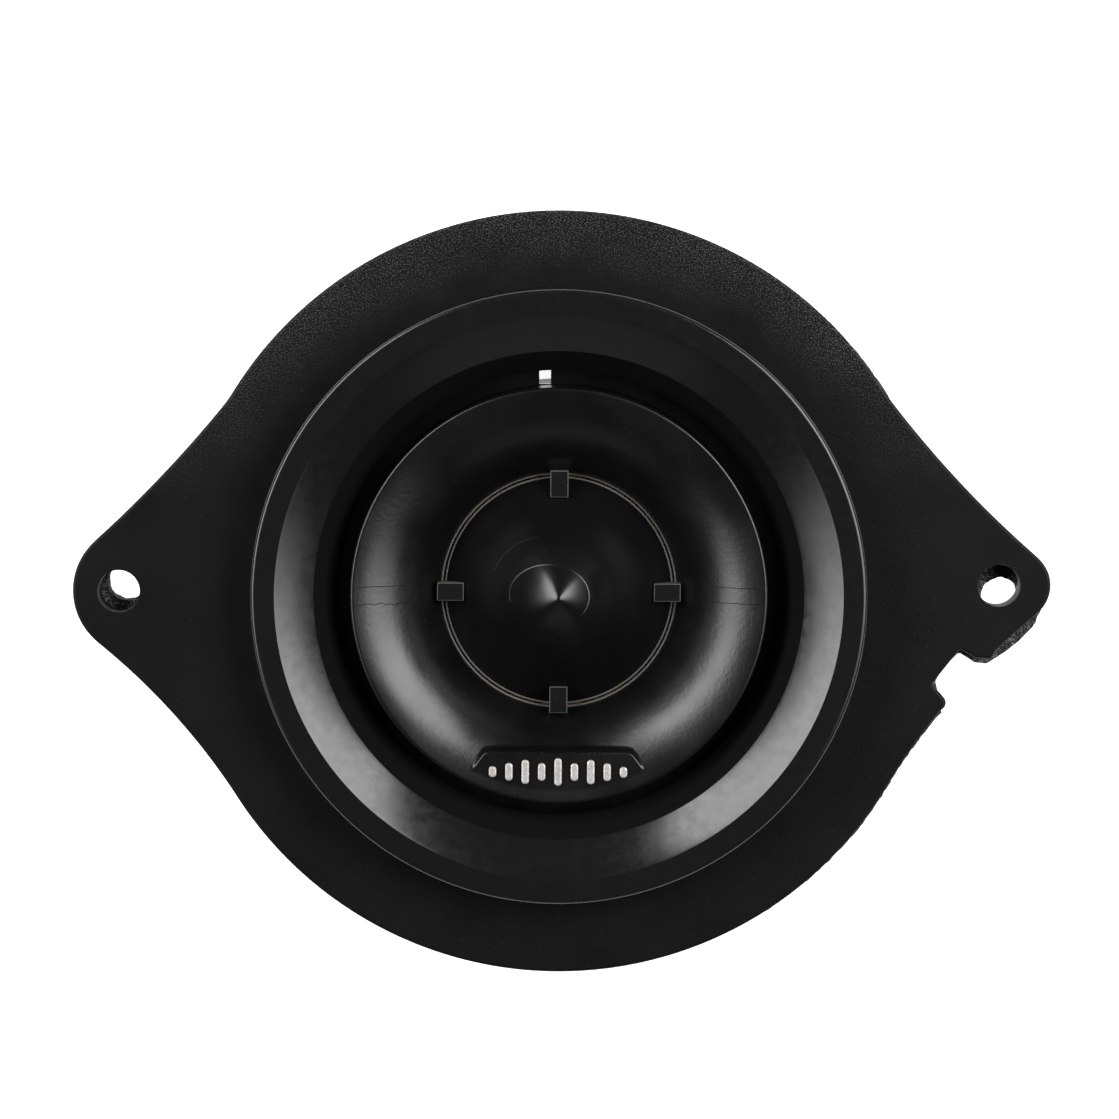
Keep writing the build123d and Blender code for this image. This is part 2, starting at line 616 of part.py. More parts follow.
with BuildPart() as terminal_rivets:
    for x in (-TERMINAL_X, TERMINAL_X):
        for face, length, head in ((BOARD_FACE - BLADE_T, 0, 1), (POD_Y, 0, -1)):
            with BuildSketch(Plane.XZ.offset(-face)):
                with Locations((x, TERMINAL_Z - RIVET_DROP)):
                    Circle(RIVET_HEAD_R)
            extrude(amount=head * RIVET_HEAD_T)
        with BuildSketch(Plane.XZ.offset(-POD_Y)):
            with Locations((x, TERMINAL_Z - RIVET_DROP)):
                Circle(RIVET_R)
        extrude(amount=BOARD_T + BLADE_T)
write(terminal_rivets, "terminal_rivets")

with BuildPart() as board_screws:
    for x in (-BOARD_SCREW_X, BOARD_SCREW_X):
        pan_screw(BOARD_SCREW, Plane(origin=(x, BOARD_FACE, TERMINAL_Z), z_dir=(0, 1, 0)))
write(board_screws, "board_screws")

for name, x in (("lead_positive", TERMINAL_X), ("lead_negative", -TERMINAL_X)):
    with BuildPart() as lead:
        foot_z = TERMINAL_Z - RIVET_DROP
        with BuildLine():
            route = FilletPolyline((x, LEAD_Y, LEAD_TOP), (x, LEAD_Y, foot_z),
                                   (x, POD_Y + RIVET_HEAD_T, foot_z), radius=LEAD_BEND)
        with BuildSketch(Plane(origin=(x, LEAD_Y, LEAD_TOP), z_dir=(0, 0, -1))):
            Circle(LEAD_R)
        sweep(path=route)
    write(lead, name)
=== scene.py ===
from math import acos, asin, atan2, ceil, cos, degrees, hypot, log2, pi, radians, sin, tan

import bmesh
import bpy
from mathutils import Matrix, Vector, noise
from mathutils.geometry import tessellate_polygon


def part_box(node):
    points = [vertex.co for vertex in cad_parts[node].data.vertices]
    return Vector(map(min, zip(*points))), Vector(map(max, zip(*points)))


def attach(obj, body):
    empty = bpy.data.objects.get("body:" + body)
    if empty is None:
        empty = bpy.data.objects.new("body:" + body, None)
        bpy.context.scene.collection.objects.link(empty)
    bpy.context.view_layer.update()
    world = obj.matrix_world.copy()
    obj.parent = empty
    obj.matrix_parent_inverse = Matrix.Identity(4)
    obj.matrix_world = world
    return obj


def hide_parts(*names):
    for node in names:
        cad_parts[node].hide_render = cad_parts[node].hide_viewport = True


# Bullet tweeter on a dashboard plate. Outlines are written in millimetres and
# scaled to metres when a mesh is made. Radii are measured from the Z axis.

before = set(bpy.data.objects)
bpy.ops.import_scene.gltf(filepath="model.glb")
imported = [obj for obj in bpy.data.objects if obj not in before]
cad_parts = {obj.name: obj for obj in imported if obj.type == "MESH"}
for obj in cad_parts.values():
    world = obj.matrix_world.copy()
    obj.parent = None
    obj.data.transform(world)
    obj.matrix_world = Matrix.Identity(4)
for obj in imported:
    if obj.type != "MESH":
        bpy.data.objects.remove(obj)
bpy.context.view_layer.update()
scene = bpy.context.scene

MM = 0.001
HOUSING = "housing"


def span(node):
    """Lowest and highest corners of a CAD node, in millimetres."""
    low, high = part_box(node)
    return low / MM, high / MM


plate_low, plate_high = span("mounting_plate")
gasket_low, gasket_high = span("plate_gasket")
collar_high = span("front_collar")[1]
horn_low, horn_high = span("horn_body")
plug_high = span("phase_plug")[1]
bars_low, bars_high = span("badge_bars")
film_low = span("surround")[0]
cover_low, cover_high = span("rear_cover")
board_low, board_high = span("terminal_board")

# the tweeter was put in slightly turned, and the gasket was stuck on by hand
TWEETER_TURN = radians(-0.63)
GASKET_TURN = radians(-1.38)
GASKET_SHIFT = (0.55, -0.42)


# ---- outlines -----------------------------------------------------------

def arc_points(a, b, c, step=0.4):
    """Points along the circle from a through b to c, without the last one."""
    ax, ay, bx, by, cx, cy = *a, *b, *c
    d = 2 * (ax * (by - cy) + bx * (cy - ay) + cx * (ay - by))
    sa, sb, sc = ax * ax + ay * ay, bx * bx + by * by, cx * cx + cy * cy
    ux = (sa * (by - cy) + sb * (cy - ay) + sc * (ay - by)) / d
    uy = (sa * (cx - bx) + sb * (ax - cx) + sc * (bx - ax)) / d
    r = hypot(ax - ux, ay - uy)
    start = atan2(ay - uy, ax - ux)
    mid = (atan2(by - uy, bx - ux) - start) % (2 * pi)
    end = (atan2(cy - uy, cx - ux) - start) % (2 * pi)
    if mid > end:
        end -= 2 * pi
    n = max(2, ceil(abs(end) * r / step))
    return [(ux + r * cos(start + end * k / n), uy + r * sin(start + end * k / n)) for k in range(n)]


def circle_points(x, y, r, n=96, turn=1):
    """Points of a circle, counter-clockwise, or clockwise with turn -1."""
    return [(x + r * cos(turn * 2 * pi * k / n), y + r * sin(turn * 2 * pi * k / n)) for k in range(n)]


def rectangle(x0, y0, x1, y1):
    """Corners of an upright rectangle, counter-clockwise."""
    return [(x0, y0), (x1, y0), (x1, y1), (x0, y1)]


def rounded(points, radii, steps=5):
    """Closed outline with each corner replaced by an arc of its own radius."""
    made = []
    for k, (p, r) in enumerate(zip(points, radii)):
        if r <= 0:
            made.append(p)
            continue
        here = Vector(p)
        to_a = (Vector(points[k - 1]) - here).normalized()
        to_b = (Vector(points[(k + 1) % len(points)]) - here).normalized()
        half = acos(max(-1, min(1, to_a.dot(to_b)))) / 2
        middle = here + (to_a + to_b).normalized() * (r / sin(half))
        start, end = here + to_a * (r / tan(half)), here + to_b * (r / tan(half))
        va, vb = start - middle, end - middle
        sweep = va.angle_signed(vb)
        for s in range(steps + 1):
            t = -sweep * s / steps
            made.append((middle.x + va.x * cos(t) - va.y * sin(t),
                         middle.y + va.x * sin(t) + va.y * cos(t)))
    return made


def relaxed(points, rounds):
    """Closed outline with its small kinks smoothed away."""
    for _ in range(rounds):
        n = len(points)
        points = [((points[k - 1][0] + 2 * points[k][0] + points[(k + 1) % n][0]) / 4,
                   (points[k - 1][1] + 2 * points[k][1] + points[(k + 1) % n][1]) / 4) for k in range(n)]
    return points


def turned_flat(points, turn, shift):
    """Points as they were before a turn about the origin and then a shift."""
    c, s = cos(turn), sin(turn)
    unshifted = [(x - shift[0], y - shift[1]) for x, y in points]
    return [(x * c + y * s, y * c - x * s) for x, y in unshifted]


def inset(points, amount):
    """Closed outline moved to its left by amount, so inwards if counter-clockwise."""
    made = []
    n = len(points)
    for k in range(n):
        ax, ay = points[k - 1]
        bx, by = points[(k + 1) % n]
        length = hypot(bx - ax, by - ay) or 1
        x, y = points[k]
        made.append((x - (by - ay) / length * amount, y + (bx - ax) / length * amount))
    return made


# ---- mesh building ------------------------------------------------------

def make_object(name, verts, faces, material, smooth=32, face_slots=None):
    """Object from millimetre vertices, with smooth shading broken at sharp corners."""
    mesh = bpy.data.meshes.new(name)
    mesh.from_pydata([(x * MM, y * MM, z * MM) for x, y, z in verts], [], faces)
    materials = material if isinstance(material, list) else [material]
    for m in materials:
        mesh.materials.append(m)
    if face_slots:
        mesh.polygons.foreach_set("material_index", face_slots)
    bm = bmesh.new()
    bm.from_mesh(mesh)
    bmesh.ops.remove_doubles(bm, verts=bm.verts, dist=2e-7)
    bmesh.ops.recalc_face_normals(bm, faces=bm.faces)
    bm.to_mesh(mesh)
    bm.free()
    mesh.set_sharp_from_angle(angle=radians(smooth))
    mesh.polygons.foreach_set("use_smooth", [abs(p.normal.z) < 0.99995 for p in mesh.polygons])
    obj = bpy.data.objects.new(name, mesh)
    scene.collection.objects.link(obj)
    return obj


def make_piece(name, verts, faces, material, smooth=32, replaces=(), face_slots=None):
    """Piece of the tweeter that moves with the housing."""
    obj = make_object(name, verts, faces, material, smooth, face_slots)
    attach(obj, HOUSING)
    if replaces:
        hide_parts(*replaces)
    return obj


def lathe(outline, angles=None, turns=192):
    """Closed (radius, height) outline turned about the Z axis, as vertices and faces."""
    angles = angles or [2 * pi * k / turns for k in range(turns)]
    n, m = len(outline), len(angles)
    verts = [(r * cos(a), r * sin(a), z) for a in angles for r, z in outline]
    faces = []
    for j in range(m):
        for i in range(n):
            i2, j2 = (i + 1) % n, (j + 1) % m
            on_axis, on_axis2 = outline[i][0] < 1e-6, outline[i2][0] < 1e-6
            if on_axis and on_axis2:
                continue
            a, b, c, d = j * n + i, j * n + i2, j2 * n + i2, j2 * n + i
            if on_axis:
                faces.append((a, b, c))
            elif on_axis2:
                faces.append((a, b, d))
            else:
                faces.append((a, b, c, d))
    return verts, faces


def prism(loops, levels, rough=None, hole_edge=1.0):
    """Solid between flat outlines. levels are (height, inset) pairs from the foot up.
    The first loop is the outer one, counter-clockwise, and the rest are clockwise holes,
    whose insets are scaled by hole_edge."""
    verts, faces = [], []
    rings = []
    for loop in loops:
        ring = []
        share = 1.0 if loop is loops[0] else hole_edge
        for z, amount in levels:
            start = len(verts)
            for x, y in inset(loop, amount * share):
                p = (x, y, z)
                verts.append(rough(p) if rough else p)
            ring.append(start)
        n = len(loop)
        for low, high in zip(ring, ring[1:]):
            faces += [(low + k, low + (k + 1) % n, high + (k + 1) % n, high + k) for k in range(n)]
        rings.append((ring, n))
    walls = len(faces)
    for level in (0, -1):
        polygons = [[Vector(verts[ring[level] + k]) for k in range(n)] for ring, n in rings]
        index = [ring[level] + k for ring, n in rings for k in range(n)]
        faces += [tuple(index[i] for i in tri) for tri in tessellate_polygon(polygons)]
    return verts, faces, walls


def moved(shape, matrix):
    """Vertices and faces of a shape after a placement in millimetres."""
    verts, faces = shape[0], shape[1]
    return [tuple(matrix @ Vector(v)) for v in verts], faces


def joined(shapes):
    """Several shapes as one set of vertices and faces."""
    verts, faces = [], []
    for v, f in shapes:
        start = len(verts)
        verts += v
        faces += [tuple(i + start for i in face) for face in f]
    return verts, faces


def turned(verts, angle):
    """Vertices turned about the Z axis."""
    c, s = cos(angle), sin(angle)
    return [(x * c - y * s, x * s + y * c, z) for x, y, z in verts]


def fillet_levels(low, high, edge_low, edge_high, steps=4):
    """Levels for a prism whose lower and upper edges are rounded."""
    bends = [pi / 2 * k / steps for k in range(steps + 1)]
    made = []
    if edge_low:
        made += [(low + edge_low * (1 - cos(a)), edge_low * (1 - sin(a))) for a in bends[:-1]]
    made.append((low + edge_low, 0))
    made.append((high - edge_high, 0))
    if edge_high:
        made += [(high - edge_high * (1 - sin(a)), edge_high * (1 - cos(a))) for a in bends[1:]]
    return made


def boolean(target, cutter, operation):
    """Applies one solid to another and drops the tool."""
    modifier = target.modifiers.new("cut", "BOOLEAN")
    modifier.operation = operation
    modifier.solver = "EXACT"
    modifier.object = cutter
    bpy.context.view_layer.update()
    evaluated = target.evaluated_get(bpy.context.evaluated_depsgraph_get())
    mesh = bpy.data.meshes.new_from_object(evaluated)
    target.modifiers.clear()
    target.data = mesh
    bpy.data.objects.remove(cutter)
    target.data.set_sharp_from_angle(angle=radians(34))


# ---- materials ----------------------------------------------------------

class Shader:
    """Small helper that adds and links nodes in one material."""

    def __init__(self, name):
        self.material = bpy.data.materials.new(name)
        self.material.use_nodes = True
        self.tree = self.material.node_tree
        self.surface = self.tree.nodes["Principled BSDF"]
        self.place = self.tree.nodes.new("ShaderNodeTexCoord").outputs["Object"]

    def node(self, kind, inputs=None, **settings):
        """New node, with each input linked if it is given a socket and set if not."""
        made = self.tree.nodes.new(kind)
        for key, value in settings.items():
            setattr(made, key, value)
        for key, value in (inputs or {}).items():
            if isinstance(value, bpy.types.NodeSocket):
                self.tree.links.new(value, made.inputs[key])
            else:
                made.inputs[key].default_value = value
        return made

    def noise(self, size_mm, detail=3.0, roughness=0.55, place=None, distortion=0.0):
        """Noise whose features are about size_mm across, as a 0 to 1 value."""
        made = self.node("ShaderNodeTexNoise", {"Vector": place or self.place, "Scale": 1 / (size_mm * MM),
                                                "Detail": detail, "Roughness": roughness,
                                                "Distortion": distortion})
        return made.outputs["Fac"]

    def radius(self):
        """Distance from the Z axis."""
        flat = self.node("ShaderNodeVectorMath", {0: self.place, 1: (1, 1, 0)}, operation="MULTIPLY")
        return self.node("ShaderNodeVectorMath", {0: flat.outputs[0]}, operation="LENGTH").outputs["Value"]

    def ranged(self, value, low, high, to_low, to_high):
        """Value mapped from one range to another and held inside it."""
        return self.node("ShaderNodeMapRange", {"Value": value, "From Min": low, "From Max": high,
                                                "To Min": to_low, "To Max": to_high}).outputs["Result"]

    def blend(self, factor, a, b):
        """Colour between a and b."""
        made = self.node("ShaderNodeMix", data_type="RGBA")
        for socket, value in ((made.inputs[0], factor), (made.inputs[6], a), (made.inputs[7], b)):
            if isinstance(value, bpy.types.NodeSocket):
                self.tree.links.new(value, socket)
            else:
                socket.default_value = value
        return made.outputs[2]

    def maths(self, operation, a, b=0.0):
        """Result of one arithmetic step."""
        return self.node("ShaderNodeMath", {0: a, 1: b}, operation=operation).outputs[0]

    def bump(self, height, depth_mm, strength=1.0, under=None):
        """Normal of a height map that is depth_mm deep, on top of another one."""
        inputs = {"Height": height, "Distance": depth_mm * MM, "Strength": strength}
        if under:
            inputs["Normal"] = under
        return self.node("ShaderNodeBump", inputs).outputs["Normal"]

    def finish(self, color=None, roughness=None, normal=None, metallic=0.0, specular=0.5):
        links = (("Base Color", color), ("Roughness", roughness), ("Normal", normal))
        for key, value in links:
            if isinstance(value, bpy.types.NodeSocket):
                self.tree.links.new(value, self.surface.inputs[key])
            elif value is not None:
                self.surface.inputs[key].default_value = value
        self.surface.inputs["Metallic"].default_value = metallic
        self.surface.inputs["Specular IOR Level"].default_value = specular
        return self.material


def gray(v, tint=(1, 1, 1)):
    return (v * tint[0], v * tint[1], v * tint[2], 1)


# where the painted highlight of bright grain tops shows on the plate, in millimetres
PAINTED_GLINT_WANDER = 8.0
PAINTED_GLINT_FROM_Y, PAINTED_GLINT_FULL_Y = 12.0, 32.0


def grained_plastic(name, value, roughness, grain_mm, grain_depth, tint=(1, 1, 1.03), specular=0.5,
                    painted_glint=None):
    """Matte moulded plastic with a spark-eroded grain, dust and slight scuffs. painted_glint gives the
    radii between which a painted highlight of bright grain tops comes in, in the half with high Y."""
    s = Shader(name)
    grain = s.noise(grain_mm, detail=2.0, roughness=0.6)
    fine = s.noise(grain_mm / 2.7, detail=1.0)
    cloud = s.noise(9.0, detail=4.0)
    dust = s.ranged(s.noise(0.45, detail=0.0), 0.77, 0.82, 0.0, 0.25)
    color = s.blend(s.ranged(cloud, 0.35, 0.65, 0, 1), gray(value * 0.86, tint), gray(value * 1.14, tint))
    color = s.blend(dust, color, gray(value * 4 + 0.02))
    # painted highlight: bright grain tops mixed into the colour in the upper outer part of the plate
    if painted_glint:
        up = s.node("ShaderNodeSeparateXYZ", {0: s.place}).outputs["Y"]
        out = s.maths("ADD", s.radius(), s.maths("MULTIPLY", cloud, PAINTED_GLINT_WANDER * MM))
        inner, full = painted_glint[0] + PAINTED_GLINT_WANDER / 2, painted_glint[1] + PAINTED_GLINT_WANDER / 2
        where = s.ranged(out, inner * MM, full * MM, 0.0, 1.0)
        upper = s.ranged(up, PAINTED_GLINT_FROM_Y * MM, PAINTED_GLINT_FULL_Y * MM, 0.0, 1.0)
        where = s.maths("MULTIPLY", where, upper)
        painted_glint_tops = s.ranged(s.noise(0.15, detail=0.0), 0.55, 0.72, 0.0, 1.0)
        color = s.blend(s.maths("MULTIPLY", where, painted_glint_tops), color, gray(0.1))
    rough = s.ranged(s.maths("ADD", grain, cloud), 0.75, 1.25, roughness - 0.05, roughness + 0.06)
    normal = s.bump(grain, grain_depth)
    normal = s.bump(fine, grain_depth * 0.4, under=normal)
    return s.finish(color, rough, normal, specular=specular)


def satin_plastic(name, value, roughness, peel_mm, peel_depth, tint=(1, 1, 1.02), specular=0.5,
                  dulled=None):
    """Satin moulded plastic with a faint orange peel that comes and goes. dulled gives the two
    radii between which the shine fades, and the share of it that is left outside them."""
    s = Shader(name)
    if dulled:
        shine = s.ranged(s.radius(), dulled[0] * MM, dulled[1] * MM, specular, specular * dulled[2])
        s.tree.links.new(shine, s.surface.inputs["Specular IOR Level"])
    peel = s.noise(peel_mm, detail=2.0, roughness=0.5, distortion=0.3)
    patch = s.noise(7.0, detail=2.0)
    hair = s.noise(0.12, detail=1.0)
    color = s.blend(s.ranged(patch, 0.35, 0.65, 0, 1), gray(value * 0.9, tint), gray(value * 1.12, tint))
    speck = s.ranged(s.noise(0.3, detail=0.0), 0.82, 0.87, 0.0, 0.12)
    color = s.blend(speck, color, gray(0.12))
    rough = s.ranged(patch, 0.3, 0.7, roughness - 0.04, roughness + 0.05)
    strength = s.ranged(patch, 0.35, 0.65, 0.35, 1.0)
    normal = s.bump(s.maths("MULTIPLY", peel, strength), peel_depth)
    normal = s.bump(hair, peel_depth * 0.12, under=normal)
    return s.finish(color, rough, normal, specular=specular)


def gloss_plastic(name, value, roughness, tint, specular=0.5):
    """Glossy moulded plastic with a long wave, a few specks and fine rub marks."""
    s = Shader(name)
    wave = s.noise(3.5, detail=1.0)
    peel = s.noise(0.5, detail=1.0)
    speck = s.ranged(s.noise(0.35, detail=0.0), 0.77, 0.82, 0.0, 0.5)
    rub = s.noise(1.4, detail=5.0, roughness=0.7)
    color = s.blend(s.noise(12.0), gray(value * 0.9, tint), gray(value * 1.1, tint))
    color = s.blend(speck, color, gray(0.002))
    rough = s.ranged(rub, 0.35, 0.7, roughness - 0.03, roughness + 0.07)
    normal = s.bump(wave, 0.012)
    normal = s.bump(peel, 0.0012, under=normal)
    return s.finish(color, rough, normal, specular=specular)


CELL_MM = 0.42


def foam(name, value, light):
    """Closed-cell foam: small dark cells with pale torn skin between them."""
    s = Shader(name)
    cells = s.node("ShaderNodeTexVoronoi", {"Vector": s.place, "Scale": 1 / (CELL_MM * MM)})
    torn = s.noise(0.3, detail=4.0, roughness=0.7, distortion=1.2)
    streak = s.ranged(torn, 0.5, 0.66, 0.0, 1.0)
    color = s.blend(streak, gray(value), gray(light))
    normal = s.bump(s.maths("ADD", cells.outputs["Distance"], torn), 0.16)
    return s.finish(color, s.ranged(torn, 0.3, 0.7, 0.75, 0.95), normal, specular=0.3)


def metal(name, color, roughness, brush_mm=0.15, depth=0.004, stain=0.25, metallic=1.0):
    """Metal with fine turning marks and a little tarnish."""
    s = Shader(name)
    marks = s.noise(brush_mm, detail=2.0)
    stains = s.noise(2.2, detail=4.0)
    dark = (color[0] * (1 - stain), color[1] * (1 - stain), color[2] * (1 - stain), 1)
    mixed = s.blend(s.ranged(stains, 0.35, 0.7, 0, 1), (*color, 1), dark)
    rough = s.ranged(stains, 0.3, 0.7, roughness - 0.06, roughness + 0.12)
    return s.finish(mixed, rough, s.bump(marks, depth), metallic=metallic)


def silver_foil(name):
    """Hot-stamped silver with pin holes and dull patches."""
    s = Shader(name)
    patch = s.noise(0.5, detail=4.0, roughness=0.65)
    holes = s.ranged(s.noise(0.16, detail=1.0), 0.68, 0.74, 0.0, 1.0)
    color = s.blend(s.ranged(patch, 0.35, 0.65, 0, 1), (0.74, 0.72, 0.7, 1), (0.5, 0.47, 0.45, 1))
    color = s.blend(holes, color, gray(0.12))
    normal = s.bump(s.noise(0.22, detail=2.0), 0.02)
    return s.finish(color, s.ranged(patch, 0.3, 0.7, 0.36, 0.55), normal, metallic=0.55)


def laminate(name, dark, light):
    """Paper laminate board with a faint fibre pattern."""
    s = Shader(name)
    fibre = s.noise(0.5, detail=6.0, roughness=0.75, distortion=0.8)
    color = s.blend(s.ranged(fibre, 0.3, 0.7, 0, 1), (*dark, 1), (*light, 1))
    return s.finish(color, s.ranged(fibre, 0.3, 0.7, 0.4, 0.55), s.bump(fibre, 0.01))


def film(name):
    """Amber polyimide film with shallow waves."""
    s = Shader(name)
    wave = s.noise(1.8, detail=2.0)
    color = s.blend(wave, (0.42, 0.24, 0.03, 1), (0.62, 0.4, 0.08, 1))
    return s.finish(color, s.ranged(wave, 0.3, 0.7, 0.18, 0.3), s.bump(wave, 0.02))


def felt(name, value):
    """Dense felt or fibre."""
    s = Shader(name)
    fibre = s.noise(0.18, detail=5.0, roughness=0.8, distortion=1.5)
    color = s.blend(fibre, gray(value * 0.5), gray(value * 1.6))
    return s.finish(color, 0.95, s.bump(fibre, 0.06), specular=0.2)


def sheath(name, color):
    """Soft wire insulation."""
    s = Shader(name)
    mottled = s.noise(0.6, detail=3.0)
    dark = tuple(c * 0.7 for c in color)
    mixed = s.blend(mottled, (*color, 1), (*dark, 1))
    return s.finish(mixed, s.ranged(mottled, 0.3, 0.7, 0.4, 0.55), s.bump(mottled, 0.006))


# the plate's upper outer part carries a painted highlight of bright grain tops
plate_black = grained_plastic("plate_black", 0.0026, 0.5, 0.32, 0.03, specular=0.16, painted_glint=(38, 47))
cover_black = grained_plastic("cover_black", 0.011, 0.5, 0.4, 0.02)
horn_black = satin_plastic("horn_black", 0.004, 0.27, 0.55, 0.02)
plug_black = satin_plastic("plug_black", 0.0048, 0.24, 0.7, 0.005, dulled=(3.8, 6.5, 0.2))
tab_gray = grained_plastic("tab_gray", 0.003, 0.6, 0.22, 0.02, specular=0.12)
tab_edge = grained_plastic("tab_edge", 0.06, 0.5, 0.2, 0.02)
# pale grey that paints the highlight along the slot's two edges
painted_highlight_gray = grained_plastic("painted_highlight_gray", 0.11, 0.5, 0.3, 0.01, tint=(1, 0.99, 0.94))
collar_black = gloss_plastic("collar_black", 0.0072, 0.18, (0.94, 1.0, 0.97))
foam_skin = foam("foam_skin", 0.018, 0.32)
badge_silver = silver_foil("badge_silver")
screw_dark = metal("screw_dark", (0.085, 0.085, 0.09), 0.36)
zinc = metal("zinc", (0.55, 0.54, 0.5), 0.34)
ferrite = metal("ferrite", (0.07, 0.07, 0.073), 0.6, stain=0.4, metallic=0.3)
tin = metal("tin", (0.72, 0.7, 0.64), 0.28)
copper = metal("copper", (0.62, 0.24, 0.09), 0.3)
foil = metal("foil", (0.75, 0.75, 0.76), 0.3)
amber = film("amber")
board_brown = laminate("board_brown", (0.11, 0.05, 0.02), (0.2, 0.1, 0.045))
ring_brown = laminate("ring_brown", (0.07, 0.035, 0.018), (0.14, 0.07, 0.035))
felt_black = felt("felt_black", 0.03)
seal_gray = felt("seal_gray", 0.06)
sheath_red = sheath("sheath_red", (0.4, 0.02, 0.02))
sheath_black = sheath("sheath_black", (0.02, 0.02, 0.02))


# ---- mounting plate and gasket ------------------------------------------

PLATE_R = plate_high.y
EAR_RISE = 0.7
# tip of each ear, then the corner and middle of its flank from the ears' own axis
EARS = {1: (plate_high.x, (57.2, 3.3), (46.0, 14.4)), -1: (-plate_low.x, (55.3, 6.0), (46.3, 14.7))}
FLANK_ANGLE = radians(31.0)
HOLE_X = 52.5
HOLE_R, GASKET_HOLE_R = 2.52, 2.31
BORE_R, GASKET_BORE_R = 33.0, 39.0
# outline points given up on each side of the clip notch
NOTCH_MARGIN = 4
NOTCH = [(51.6, -8.1), (49.7, -7.95), (47.9, -6.8), (44.5, -11.1), (46.6, -13.4)]
NOTCH_RADII = [0.35, 0.8, 0.45, 0.45, 0.9]
GASKET_EARS = {1: (57.65, (54.94, 5.35), (45.8, 14.2)), -1: (58.0, (55.0, 5.7), (46.0, 14.4))}
# cut-out in the foam, in the place it takes once the foam is stuck on
GASKET_CUT = [(55.4, -6.35), (53.6, -7.75), (51.5, -9.1), (49.9, -8.85), (48.2, -7.75), (45.9, -10.0),
              (45.3, -11.2), (45.6, -12.6), (45.2, -13.9)]
GASKET_NOTCH = turned_flat(GASKET_CUT, GASKET_TURN, GASKET_SHIFT)


def plate_outline(ears, notch, notch_radii):
    """Counter-clockwise outline of a plate with two ears, and the clip notch in the right ear."""
    x, y = PLATE_R * cos(FLANK_ANGLE), PLATE_R * sin(FLANK_ANGLE)
    loop = []
    for s in (1, -1):
        tip, (cx, cy), (mx, my) = ears[s]
        loop += arc_points((s * x, -s * y), (s * mx, EAR_RISE - s * my), (s * cx, EAR_RISE - s * cy))
        loop += arc_points((s * cx, EAR_RISE - s * cy), (s * tip, EAR_RISE), (s * cx, EAR_RISE + s * cy))
        loop += arc_points((s * cx, EAR_RISE + s * cy), (s * mx, EAR_RISE + s * my), (s * x, s * y))
        loop += arc_points((s * x, s * y), (0, s * PLATE_R), (-s * x, s * y))
    loop = relaxed(loop, 5)
    start, end = notch[-1], notch[0]
    ear = [k for k, p in enumerate(loop) if p[0] > 40 and start[1] < p[1] < end[1]]
    first, last = ear[0] - NOTCH_MARGIN, ear[-1] + NOTCH_MARGIN
    cut = rounded([loop[first], *reversed(notch), loop[last]], [0, *reversed(notch_radii), 0])
    return loop[:first] + cut + loop[last + 1:]


def ear_holes(r):
    """The two screw holes, as clockwise loops."""
    return [circle_points(side * HOLE_X, EAR_RISE, r, 64, -1) for side in (1, -1)]


def build_plate():
    """Flat plate with rounded edges, a bore for the collar and two screw holes."""
    bore = circle_points(0, 0, BORE_R, 192, -1)
    loops = [plate_outline(EARS, NOTCH, NOTCH_RADII), bore, *ear_holes(HOLE_R)]
    levels = fillet_levels(plate_low.z, plate_high.z, 0.2, 0.35)
    verts, faces, _ = prism(loops, levels, hole_edge=0.3)
    make_piece("mounting_plate_look", verts, faces, plate_black,
               replaces=["mounting_plate"])


def build_gasket():
    """Foam ring stuck on askew, with ragged cut edges and holes punched off centre."""
    outer = plate_outline(GASKET_EARS, GASKET_NOTCH, [0.4] * len(GASKET_CUT))
    bore = circle_points(0, 0, GASKET_BORE_R, 256, -1)
    loops = [outer, bore, *ear_holes(GASKET_HOLE_R)]
    c, s = cos(GASKET_TURN), sin(GASKET_TURN)

    def place(p):
        ragged = noise.noise_vector(Vector((p[0] * 1.1, p[1] * 1.1, p[2] * 0.5))) * 0.13
        ragged += noise.noise_vector(Vector((p[0] * 3.1, p[1] * 3.1, p[2] * 2.0))) * 0.09
        x, y = p[0] + ragged.x, p[1] + ragged.y
        return (x * c - y * s + GASKET_SHIFT[0], x * s + y * c + GASKET_SHIFT[1], p[2])

    depth = gasket_high.z - gasket_low.z
    shares = (0, 0.08, 0.3, 0.5, 0.7, 0.92, 1)
    levels = [(gasket_low.z + depth * t, 0.06 if t in (0, 1) else 0) for t in shares]
    verts, faces, _ = prism(loops, levels, rough=place)
    make_piece("plate_gasket_look", verts, faces, foam_skin, smooth=60,
               replaces=["plate_gasket"])


# ---- collar, horn and bullet --------------------------------------------

LIP_R, LIP_TOP = collar_high.x, collar_high.z
CONE_R = LIP_R - 2.9
FACET = (29.1, 2.6)
INNER_LIP = (26.7, -1.4)
SPIGOT_R, SPIGOT_BORE_R = 32.8, 31.3
COLLAR_WALL, COLLAR_FOOT_Z = 1.5, -2.8
# points down the cone, which swells very slightly
CONE = [(CONE_R + (FACET[0] - CONE_R) * t, LIP_TOP + (FACET[1] - LIP_TOP) * t + 0.27 * t * (1 - t))
        for t in (0.1, 0.2, 0.3, 0.4, 0.5, 0.6, 0.7, 0.8, 0.9)]


